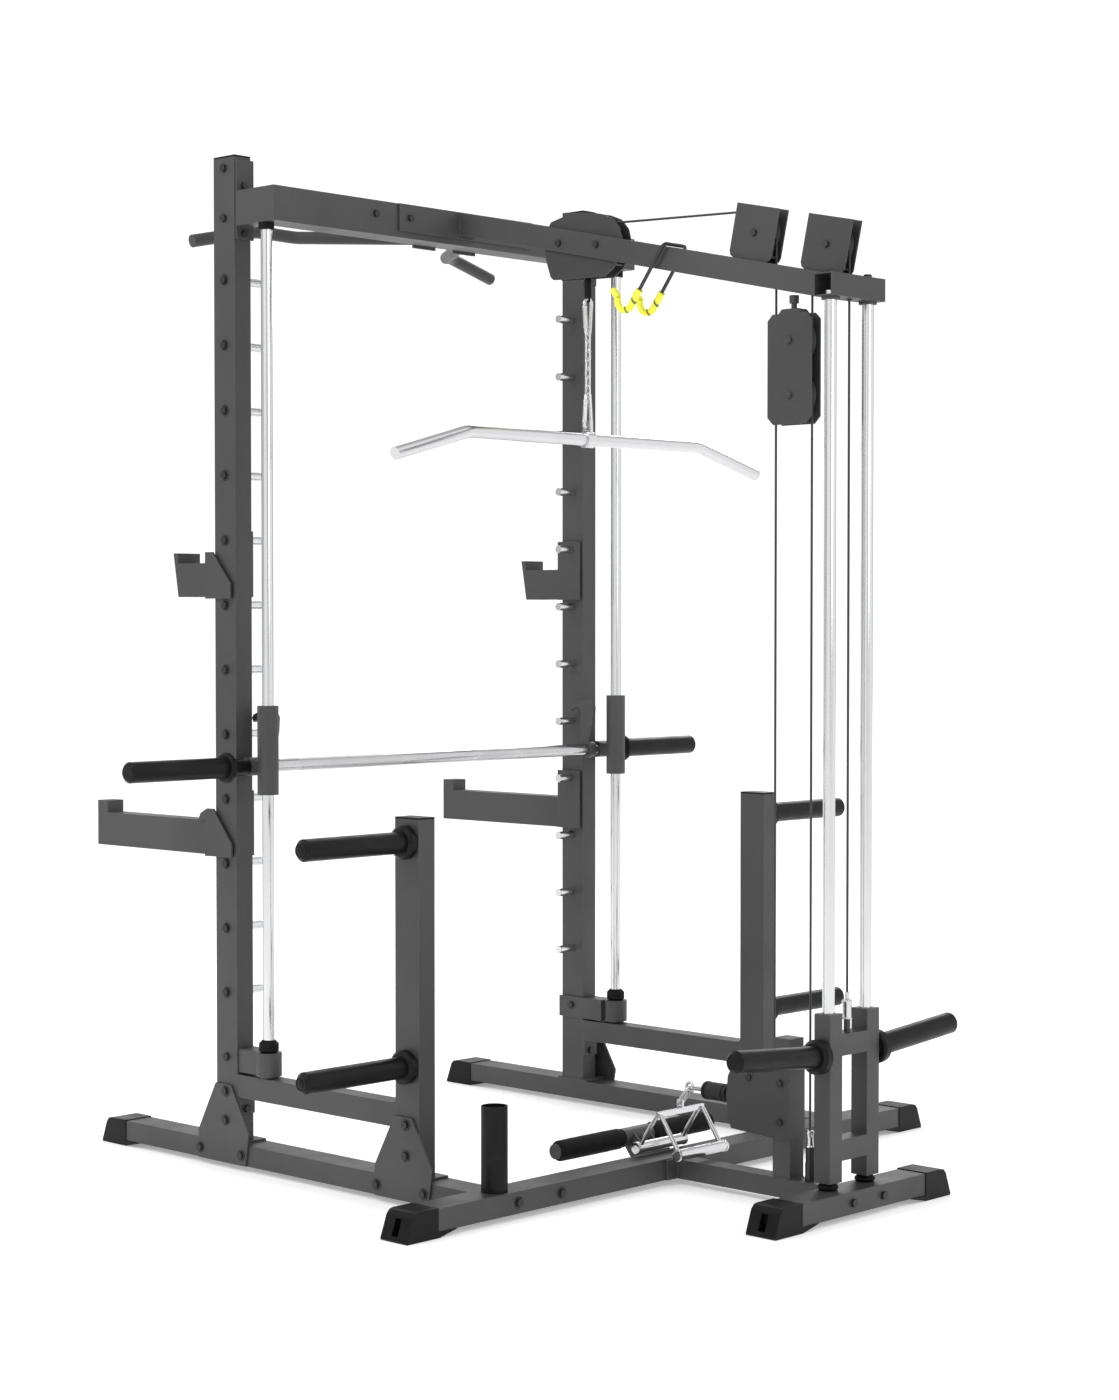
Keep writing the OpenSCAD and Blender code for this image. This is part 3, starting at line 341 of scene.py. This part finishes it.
PAINT = powder_coat("frame_powder_coat", grey(0.033, 0.0005), grey(0.046, 0.0005), grey(0.125))
PLATE = powder_coat("plate_powder_coat", grey(0.026, 0.0005), grey(0.036, 0.0005), grey(0.10), 700.0)
CAP = moulded("cap_plastic", grey(0.0035), grey(0.0060, 0.0002), 0.30, 0.46, 900.0, 0.0004, 0.15)
RUBBER = moulded("rubber", grey(0.0035), grey(0.0065), 0.50, 0.70, 620.0, 0.0005, 0.14)
CHROME = polished("chrome_rod", (0.66, 0.665, 0.67), (0.62, 0.625, 0.63), 0.12, 0.18, (1.0, 1.0, 0.012))
STEEL_X = polished("bar_steel", grey(0.64, 0.01), grey(0.60, 0.01), 0.16, 0.24, (0.012, 1.0, 1.0))
FITTING = polished("plated_fitting", grey(0.66, 0.01), grey(0.57, 0.01), 0.12, 0.24, draw=300.0)
BOLT = polished("black_oxide", grey(0.034, 0.002), grey(0.060, 0.002), 0.34, 0.50, metallic=0.75, draw=500.0)
SLEEVE, CABLE, GREEN = sleeve_black(), cable_coat(), dipped_green()
FOAM, NYLON, KNURL, PEG, ROW = foam(), pulley_nylon(), knurled_steel(), peg_steel(), row_fittings()

FINISHES = (
    (PAINT, """side_rails rear_crossmember center_rail tower_base uprights storage_posts side_braces crossbar
        top_beam tower_crosspiece low_pulley_post weight_carriage corner_plates rod_brackets
        spotter_arm_right spotter_arm_left j_hook_right j_hook_left smith_carriages footrest smith_hooks"""),
    (PLATE, "pulley_plates floating_block pull_up_bar"),
    (CAP, "foot_caps tube_caps"),
    (RUBBER, "rod_bumpers"),
    (CHROME, "guide_rods tower_rods"),
    (STEEL_X, "lat_bar"),
    (FITTING, "lat_chain row_handle"),
    (ROW, "row_hardware"),
    (KNURL, "smith_bar"),
    (PEG, "lock_pegs"),
    (BOLT, "frame_bolts pulley_axles band_hook"),
    (SLEEVE, "storage_pegs weight_horns smith_sleeves bar_holder"),
    (NYLON, """guide_pulley over_pulley rear_pulley_1 rear_pulley_2 block_pulley_upper block_pulley_lower
        low_pulley"""),
    (CABLE, """cable_guides cable_lat_drop cable_block_front cable_block_rear cable_block_wraps
        cable_row_front cable_row_rear cable_row_end cable_carriage_run"""),
    (GREEN, "band_hook_tips"),
    (FOAM, "foot_rollers"),
)
FINISH_OF = {name: material for material, names in FINISHES for name in names.split()}

for name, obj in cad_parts.items():
    obj.data.materials.clear()
    obj.data.materials.append(FINISH_OF[name])


# ---------------------------------------------------------------- tools for new pieces
SHARP = math.radians(38)        # corners steeper than this stay sharp


def solid(bm, name, material):
    """Show a mesh with smooth faces and sharp corners."""
    mesh = bpy.data.meshes.new(name)
    bmesh.ops.recalc_face_normals(bm, faces=bm.faces)
    bm.to_mesh(mesh)
    bm.free()
    mesh.materials.append(material)
    for face in mesh.polygons:
        face.use_smooth = True
    mesh.set_sharp_from_angle(angle=SHARP)
    obj = bpy.data.objects.new(name, mesh)
    scene.collection.objects.link(obj)
    return obj


def keep(bm, name, material, body):
    """Show a mesh that rides on a body."""
    obj = solid(bm, name, material)
    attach(obj, body)
    return obj


def across(axis):
    """An axis of length 1 and two unit vectors across it."""
    a = Vector(axis).normalized()
    side = Vector((0, 0, 1)) if abs(a.z) < 0.9 else Vector((1, 0, 0))
    u = a.cross(side).normalized()
    return a, u, a.cross(u)


def circle(bm, center, u, w, radius, count):
    """Vertices around a center, radius in metres."""
    turns = (2 * math.pi * i / count for i in range(count))
    return [bm.verts.new(center + (u * math.cos(t) + w * math.sin(t)) * radius) for t in turns]


def lathe(bm, base, axis, profile, count=40):
    """Turn (radius, distance) pairs in millimetres about an axis, closing ends that reach it."""
    a, u, w = across(axis)
    rows = []
    for r, d in profile:
        center = base + a * (d / 1000)
        rows.append(circle(bm, center, u, w, r / 1000, count) if r > 0 else [bm.verts.new(center)])
    for lo, hi in zip(rows, rows[1:]):
        for i in range(count):
            j = (i + 1) % count
            corners = [lo[i % len(lo)], lo[j % len(lo)], hi[j % len(hi)], hi[i % len(hi)]]
            unique = list(dict.fromkeys(corners))
            if len(unique) > 2:
                bm.faces.new(unique)


def hose(bm, points, radius, count=12, closed=False, pulse=None):
    """Round rod along points in metres, radius in millimetres; pulse(i) scales it along the way."""
    rings = []
    last = len(points) - 1
    _, u, _ = across(points[1] - points[0])
    for i, p in enumerate(points):
        if closed:
            tangent = (points[(i + 1) % len(points)] - points[i - 1]).normalized()
        else:
            tangent = (points[min(i + 1, last)] - points[max(i - 1, 0)]).normalized()
        u = (u - tangent * u.dot(tangent)).normalized()
        scale = pulse(i) if pulse else 1.0
        rings.append(circle(bm, p, u, tangent.cross(u), radius / 1000 * scale, count))
    pairs = list(zip(rings, rings[1:])) + ([(rings[-1], rings[0])] if closed else [])
    for lo, hi in pairs:
        for k in range(count):
            m = (k + 1) % count
            bm.faces.new((lo[k], lo[m], hi[m], hi[k]))
    if not closed:
        bm.faces.new(rings[0])
        bm.faces.new(rings[-1])


# ---------------------------------------------------------------- foam rollers
ROLL_Y, ROLL_Z, ROLL_IN = 684.0, 73.0, 47.0     # axis of the rollers, and their inner ends
ROLL_LEN, ROLL_R = 199.0, 22.3
ROLL_BORE, ROLL_FACE = 12.4, 16.0       # radii of the hole and of the flat face around it
LIP_LEN, LIP_DROP = 5.0, 4.5            # rolled lip at each end
CROWN, WRINKLE = 0.5, 0.15
ROLL_STEPS = 26


def roller_profile():
    """A crowned sleeve whose ends roll over into a flat face."""
    profile = [(ROLL_BORE, 0.0), (ROLL_FACE, 0.4)]
    for i in range(ROLL_STEPS + 1):
        t = i / ROLL_STEPS
        from_end = min(t, 1 - t) * ROLL_LEN
        lip = 1 - math.sqrt(1 - (1 - min(from_end / LIP_LEN, 1.0)) ** 2)
        wrinkle = WRINKLE * math.sin(t * 31.0) * math.sin(t * 7.0) * (1 - lip)
        profile.append((ROLL_R - LIP_DROP * lip - CROWN * (2 * t - 1) ** 2 + wrinkle, t * ROLL_LEN))
    return profile + [(ROLL_FACE, ROLL_LEN - 0.4), (ROLL_BORE, ROLL_LEN)]


for side, word in zip(SIDES, ("right", "left")):
    bm = bmesh.new()
    lathe(bm, at(side * ROLL_IN, ROLL_Y, ROLL_Z), (side, 0, 0), roller_profile(), 48)
    roller = keep(bm, f"foam_roller_{word}", FOAM, "foot_rollers")
    if side == 1:
        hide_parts("foot_rollers")

# ---------------------------------------------------------------- washers under the bolt heads
WASHER_T = 1.6
WASHER = [(9.0, 0.0), (12.0, 0.0), (12.4, 0.4), (12.4, 1.1),
          (11.9, WASHER_T), (9.0, WASHER_T), (6.0, WASHER_T)]
GUSSET_BOLTS = ((-88, 26), (52, 26), (0, 97), (0, 161))     # y from the upright, and z
CROSS_BOLT_X = (375, 500)
CROSS_BOLT_Y, CROSS_BOLT_Z = 822, 25.5


def washer(bm, place, axis):
    lathe(bm, place, axis, WASHER, 28)


bm = bmesh.new()
for side in SIDES:
    rail_out = RAIL_OUT if side == -1 else 0
    gusset_x = HALF_W + rail_out + GUSSET_T
    for k in range(1, PEG_COUNT + 1):
        washer(bm, at(side * HALF_W, 0, PEG_FIRST + k * PEG_PITCH), (side, 0, 0))
    for upright_y in (0, POST_Y):
        for dy, z in GUSSET_BOLTS:
            washer(bm, at(side * gusset_x, upright_y + dy, z), (side, 0, 0))
for side in SIDES:
    for x in CROSS_BOLT_X:
        washer(bm, at(side * x, CROSS_BOLT_Y, CROSS_BOLT_Z), (0, 1, 0))
keep(bm, "bolt_washers", BOLT, "cage")

# ---------------------------------------------------------------- inset end plugs of the plate sleeves
STORAGE_TIP, STORAGE_Z = 862.5, (280.0, 740.0)
BAR_TIP, BAR_SLEEVE_R = 895.9, 25.0
HORN_X, HORN_Z, HORN_LEN, HORN_TILT = 81.0, 319.0, 280.5, math.radians(4.5)


def sleeve_end(bm, tip, axis, radius=SLEEVE_R):
    """Chamfered rim, a groove and a shallow dimple in the middle."""
    rim = [(radius - 7.5, -0.4), (radius - 8.0, 0.0), (radius - 9.0, 0.0)]
    groove = [(radius - 9.8, -1.0), (radius - 11.5, -1.2), (radius - 12.5, -0.4)]
    lathe(bm, tip, axis, rim + groove + [(4.0, 0.0), (3.0, -0.8), (0, -1.0)], 40)


bm = bmesh.new()
for side in SIDES:
    for z in STORAGE_Z:
        sleeve_end(bm, at(side * STORAGE_TIP, POST_Y, z), (side, 0, 0))
keep(bm, "storage_peg_ends", CAP, "cage")

bm = bmesh.new()
for side in SIDES:
    sleeve_end(bm, at(side * BAR_TIP, *BAR), (side, 0, 0), BAR_SLEEVE_R)
keep(bm, "bar_sleeve_ends", CAP, "smith_bar")

bm = bmesh.new()
for side in SIDES:
    along = Vector((side * math.cos(HORN_TILT), 0, math.sin(HORN_TILT)))
    sleeve_end(bm, at(side * HORN_X, TOWER_Y, HORN_Z) + along * (HORN_LEN / 1000), along)
keep(bm, "weight_horn_ends", CAP, "weight_carriage")

# ---------------------------------------------------------------- weld beads where tubes meet
BEAD_R, FINE_BEAD_R = 2.2, 1.8
BEAD_PITCH = 0.0016             # metres from one ring of a bead to the next
SCALLOP = (0.82, 1.04)          # thin and thick rings of a bead, as shares of its radius
UPRIGHT_HALF_D, FOOT_TOP = 35.0, 53.0   # half depth of an upright, and the plate that it stands on
BRACE_Y, BRACE_Z = (40.0, 536.0), (151.0, 201.0)        # ends of the side braces, low and high
CENTER_FRONT, CENTER_LOW = 827.0, 4.0   # front end of the centre rail
LOW_POST_Y = (1088, 1133)       # post of the low pulley


def bead(bm, a, b, radius=FINE_BEAD_R):
    """Straight row of small overlapping scallops."""
    count = max(3, int((b - a).length / BEAD_PITCH))
    points = [a + (b - a) * (i / count) for i in range(count + 1)]
    hose(bm, points, radius, 8, pulse=lambda i: SCALLOP[i % 2])


def bead_around(bm, x0, x1, y0, y1, z):
    """Beads around an upright tube that stands on a flat face."""
    corners = [at(x0, y0, z), at(x1, y0, z), at(x1, y1, z), at(x0, y1, z)]
    for p, q in zip(corners, corners[1:] + corners[:1]):
        bead(bm, p, q, BEAD_R)


bm = bmesh.new()
for side in SIDES:
    inner, outer = side * INNER_W, side * HALF_W
    for y in (0.0, POST_Y):
        bead_around(bm, inner, outer, y - UPRIGHT_HALF_D, y + UPRIGHT_HALF_D, FOOT_TOP)
    level = [(y, z) for y in BRACE_Y for z in BRACE_Z]
    level += [(CROSSBAR_Y, z) for z in (CROSSBAR_LOW, CROSSBAR_TOP)]
    for y, z in level:
        bead(bm, at(inner, y, z), at(outer, y, z))
    x = side * RAIL_HALF_W
    bead(bm, at(x, CENTER_FRONT, CENTER_LOW), at(x, CENTER_FRONT, RAIL_TOP))
bead(bm, at(-RAIL_HALF_W, CENTER_FRONT, RAIL_TOP), at(RAIL_HALF_W, CENTER_FRONT, RAIL_TOP))
for side in SIDES:
    x = side * BEAM_HALF_W
    for y, z0, z1 in ((BEAM_FRONT, 2071, 2120), (BEAM_BACK, 1842, 1880)):
        bead(bm, at(x, y, z0), at(x, y, z1))
bead_around(bm, -RAIL_HALF_W, RAIL_HALF_W, *LOW_POST_Y, RAIL_TOP)
keep(bm, "weld_beads", PAINT, "cage")

# ---------------------------------------------------------------- straight cable runs, fixed in place
CABLE_R, RUN_STEPS = 2.5, 60
WHEEL = 47.0                    # from a pulley's axle to the cable's middle
AXLE_LIFT = 56.0                # from the beam's upper face to the axles of the rear pulleys
REAR_Y = TOWER_Y - WHEEL        # axle of the wheel over the carriage
BLOCK_Y = REAR_Y - 2 * WHEEL    # floating block
FRONT_Y = BLOCK_Y - 2 * WHEEL   # axles of the other rear pulley and of the low pulley
RUN_FRONT_Y, RUN_REAR_Y = BLOCK_Y - WHEEL, BLOCK_Y + WHEEL
BLOCK_TOP, BLOCK_LOW = 1764, 1652       # axles of the block's two wheels
LAT_WHEEL_Z = 2008              # axle of the pulley over the lat bar
ROW_END_Y = 951                 # back of the row handle's cable stop
ANCHOR_Z = 114                  # row cable's anchor on the centre rail


def axle_height(y):
    """Height of the axle of a rear pulley, which stands square on the sloping beam."""
    foot = y - AXLE_LIFT * math.sin(BEAM_TILT)
    return CROSSBAR_TOP - (foot - BEAM_FRONT) * math.tan(BEAM_TILT) + AXLE_LIFT * math.cos(BEAM_TILT)


def cable_run(name, fixed, moving, body, *nodes, leave=0.0):
    """Straight cable from a place on the cage to one on a body; body and leave are not used."""
    bm = bmesh.new()
    hose(bm, [fixed.lerp(moving, i / RUN_STEPS) for i in range(RUN_STEPS + 1)], CABLE_R, 16)
    run = solid(bm, name, CABLE)
    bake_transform(run)
    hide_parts(*nodes)


cable_run("run_row_end", at(0, FRONT_Y, ROW_Z), at(0, ROW_END_Y, ROW_Z), "row_end", "cable_row_end",
          leave=0.72)
cable_run("run_lat_drop", at(0, LAT_Y, LAT_WHEEL_Z), at(0, LAT_Y, LAT_STOP_Z), "lat_drop", "cable_lat_drop")
cable_run("run_carriage", at(0, TOWER_Y, axle_height(REAR_Y)), at(0, TOWER_Y, CARRIAGE_Z),
          "weight_carriage", "cable_carriage_run")
for word, y, wheel_y in (("front", RUN_FRONT_Y, FRONT_Y), ("rear", RUN_REAR_Y, REAR_Y)):
    cable_run(f"run_block_{word}", at(0, y, axle_height(wheel_y)), at(0, y, BLOCK_TOP),
              "floating_block", f"cable_block_{word}")
for word, y, low in (("front", RUN_FRONT_Y, ROW_Z + WHEEL), ("rear", RUN_REAR_Y, ANCHOR_Z)):
    cable_run(f"run_row_{word}", at(0, y, low), at(0, y, BLOCK_LOW),
              "floating_block", f"cable_row_{word}")

# ---------------------------------------------------------------- chain of the lat bar
# Two snap hooks with spring gates, and seven links that turn a quarter each
WIRE_R, LINK_WIRE_R = 3.8, 2.6
HOOK_TOP, HOOK_LOW = (1895.5, 1818.5), (1689.5, 1612.5)     # wire centres at the ends of each hook
WIDE, NARROW = 11.0, 6.5                # bends of a snap hook
LINK_R = 5.6
LINKS = 7
BEND_STEPS = 18
GATE = range(-23, 23, 9)                # heights along a hook's gate, from its middle
GATE_R = 4.7
GATE_COLLAR = [(3.6, 0), (5.3, 0.5), (5.6, 1.5), (5.3, 2.5), (3.6, 3.0)]
ACROSS_X, ACROSS_Y = Vector((1, 0, 0)), Vector((0, 1, 0))


def ring_path(top, low, r_top, r_low, width):
    """Closed line round two circles, one above the other; width is the direction that it lies in."""
    z_top, z_low = top - r_top, low + r_low
    lean = math.asin((r_low - r_top) / (z_top - z_low))
    path = []
    for center, r, start, turn in ((z_top, r_top, lean, math.pi - 2 * lean),
                                   (z_low, r_low, math.pi - lean, math.pi + 2 * lean)):
        for i in range(BEND_STEPS + 1):
            t = start + turn * i / BEND_STEPS
            path.append(at(0, LAT_Y, center + r * math.sin(t)) + width * (r * math.cos(t) / 1000))
    return path


def snap_hook(bm, top, low, r_top, r_low):
    """Bent wire with a thicker gate on one side and a collar at each end of the gate."""
    hose(bm, ring_path(top, low, r_top, r_low, ACROSS_X), WIRE_R, 16, closed=True)
    lean = (r_low - r_top) / (top - low - r_top - r_low)
    gate = [at((r_top + r_low) / 2 - lean * dz, LAT_Y, (top + low) / 2 + dz) for dz in GATE]
    hose(bm, gate, GATE_R, 16)
    along = (gate[-1] - gate[0]).normalized()
    for place in (gate[0], gate[-1]):
        lathe(bm, place - along * 0.0015, along, GATE_COLLAR, 20)


bm = bmesh.new()
snap_hook(bm, *HOOK_TOP, WIDE, NARROW)
snap_hook(bm, *HOOK_LOW, NARROW, WIDE)
hooks = keep(bm, "snap_hooks", FITTING, "lat_drop")
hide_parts("lat_chain")

bm = bmesh.new()
chain_top = HOOK_TOP[1] + WIRE_R + LINK_WIRE_R
chain_low = HOOK_LOW[0] - WIRE_R - LINK_WIRE_R
pitch = (chain_top - chain_low - 2 * LINK_WIRE_R) / LINKS
for i in range(LINKS):
    top = chain_top - i * pitch
    low = top - pitch - 2 * LINK_WIRE_R
    width = ACROSS_X if i % 2 else ACROSS_Y
    hose(bm, ring_path(top, low, LINK_R, LINK_R, width), LINK_WIRE_R, 14, closed=True)
keep(bm, "chain_links", FITTING, "lat_drop")

# ---------------------------------------------------------------- cable stops and ferrules
UP, BACK = (0, 0, 1), (0, 1, 0)
LAT_STOP_H, CLEVIS_H = 52, 38

bm = bmesh.new()
neck = [(0, 0), (4.6, 0.2), (5.4, 1.5), (5.4, 8.0)]
barrel = [(7.9, 12.0), (8.0, 48.0), (7.2, 51.0), (5.0, LAT_STOP_H), (0, LAT_STOP_H)]
lathe(bm, at(0, LAT_Y, LAT_STOP_Z - LAT_STOP_H), UP, neck + barrel, 32)
keep(bm, "lat_cable_stop", RUBBER, "lat_drop")

bm = bmesh.new()
lathe(bm, at(0, LAT_Y, LAT_STOP_Z), UP, [(7.0, 0), (6.0, 2.0), (4.2, 10.0), (2.7, 11.0)], 28)
keep(bm, "lat_cable_ferrule", FITTING, "lat_drop")

bm = bmesh.new()
flange = [(8.8, -1.0), (9.3, 0.4), (8.0, 3.0)]
waist = [(6.6, 12.0), (6.8, 24.0)]
rim = [(8.4, 29.0), (8.6, 32.0), (7.0, 33.6), (2.7, 34.0)]
lathe(bm, at(0, RUN_REAR_Y, ANCHOR_Z - 0.1), UP, flange + waist + rim, 32)
keep(bm, "row_anchor_ferrule", FITTING, "cage")

# Hexagon heads that close the tops of the tower rods
bm = bmesh.new()
for side in SIDES:
    x = side * TOWER_ROD_X
    washer(bm, at(x, TOWER_Y, TOWER_ROD_TOP), UP)
    lathe(bm, at(x, TOWER_Y, TOWER_ROD_TOP + WASHER_T), UP,
          [(0, 0), (9.0, 0), (9.2, 0.6), (9.2, 6.0), (7.8, 7.2), (0, 7.4)], 6)
keep(bm, "tower_rod_bolts", BOLT, "cage")

bm = bmesh.new()
lathe(bm, at(0, TOWER_Y, CARRIAGE_Z), UP, [(9.0, -0.1), (8.6, 1.5), (5.0, 3.0), (4.6, 16.0), (2.7, 17.0)], 28)
foot = [(7.0, -0.5), (11.5, 0.2), (11.8, 1.4), (9.6, 3.6)]
crown = [(9.3, 30.0), (11.0, 34.0), (11.2, 37.0), (9.0, 38.4)]
lathe(bm, at(0, TOWER_Y, CARRIAGE_Z - CLEVIS_H), UP, foot + crown, 32)
keep(bm, "carriage_cable_ferrule", FITTING, "weight_carriage")

bm = bmesh.new()
for y in (893.0, 941.0):
    lathe(bm, at(0, y, ROW_Z), BACK, [(18.9, 0), (19.6, 0.8), (19.6, 4.0), (18.9, 4.8)], 40)
keep(bm, "row_stop_rings", RUBBER, "row_end")

# ---------------------------------------------------------------- end caps of the row handle's two grips
GRIP_TIP, GRIP_Y, GRIP_APART, GRIP_Z = 78, 816, 58, 66
bm = bmesh.new()
for grip in (-1, 1):
    for side in (-1, 1):
        lathe(bm, at(side * GRIP_TIP, GRIP_Y + grip * GRIP_APART, GRIP_Z), (side, 0, 0),
              [(12.0, -6.0), (13.2, -5.4), (13.4, -1.0), (12.6, 0.6), (10.5, 1.2), (4.0, 0.9), (0, 0.9)], 32)
keep(bm, "row_grip_ends", FITTING, "row_end")


# ---------------------------------------------------------------- floor, light and camera
FLOOR_R, FLOOR_DROP = 30.0, 0.0005      # metres


def studio_floor():
    bm = bmesh.new()
    bm.faces.new(circle(bm, Vector((0, 0, -FLOOR_DROP)), ACROSS_X, ACROSS_Y, FLOOR_R, 96))
    mesh = bpy.data.meshes.new("floor")
    bm.to_mesh(mesh)
    bm.free()
    n = Nodes("studio_floor")
    n.finish(n.tint(n.noise(0.6, 2.0), grey(0.94), grey(0.96)), 0.9,
             Emission_Color=grey(1.0), Emission_Strength=0.30)
    mesh.materials.append(n.material)
    floor = bpy.data.objects.new("floor", mesh)
    scene.collection.objects.link(floor)
    return floor


def studio_world():
    """Plain white behind the object, and three soft boxes around it for the metal to mirror."""
    world = bpy.data.worlds.new("studio")
    world.use_nodes = True
    n = Tree(world.node_tree)
    plain = n.tree.nodes["Background"]
    n.feed(plain.inputs["Color"], grey(1.0))
    n.feed(plain.inputs["Strength"], 1.1)
    x, y, z = n.split(n.add("ShaderNodeTexCoord").outputs["Generated"])
    wave = n.math("SINE", n.math("MULTIPLY_ADD", n.math("ARCTAN2", y, x), 3.0, 0.9))
    ramp = n.add("ShaderNodeValToRGB")
    for stop, position, color in zip(ramp.color_ramp.elements, (0.25, 0.75), (grey(0.64, 0.01), grey(1.25))):
        stop.position = position
        stop.color = (*color, 1.0)
    n.link(n.math("MULTIPLY_ADD", wave, 0.5, 0.5), ramp.inputs[0])
    room = n.add("ShaderNodeBackground")
    n.link(ramp.outputs[0], room.inputs["Color"])
    n.feed(room.inputs["Strength"], 0.94)
    pick = n.add("ShaderNodeMixShader")
    n.link(n.add("ShaderNodeLightPath").outputs["Is Camera Ray"], pick.inputs[0])
    n.link(room.outputs[0], pick.inputs[1])
    n.link(plain.outputs[0], pick.inputs[2])
    n.link(pick.outputs[0], n.tree.nodes["World Output"].inputs[0])
    return world


def area(name, place, target, size, power):
    """Rectangular lamp that faces a target."""
    data = bpy.data.lights.new(name, "AREA")
    data.shape = "RECTANGLE"
    data.size, data.size_y = size
    data.energy = power
    lamp = bpy.data.objects.new(name, data)
    lamp.location = place
    lamp.rotation_euler = (Vector(target) - Vector(place)).to_track_quat("-Z", "Y").to_euler()
    scene.collection.objects.link(lamp)


def studio_camera():
    data = bpy.data.cameras.new("camera")
    data.sensor_fit = "HORIZONTAL"
    data.sensor_width = 36
    data.lens = 86.76
    data.clip_end = 200
    camera = bpy.data.objects.new("camera", data)
    camera.location = (4.3389, 4.1616, 1.2033)
    camera.rotation_euler = (math.radians(88.29), 0, math.radians(133.57))
    scene.collection.objects.link(camera)
    return camera


floor = studio_floor()
scene.world = studio_world()
scene.view_settings.view_transform = "Standard"
area("key", (4.2, -1.2, 4.0), (0, 0, 1.0), (2.6, 2.6), 70)
area("fill", (0.8, 5.6, 2.4), (0, 0, 1.0), (3.2, 2.4), 45)
area("back", (-4.5, -2.5, 3.6), (0, 0, 1.2), (2.4, 2.4), 60)
scene.camera = studio_camera()
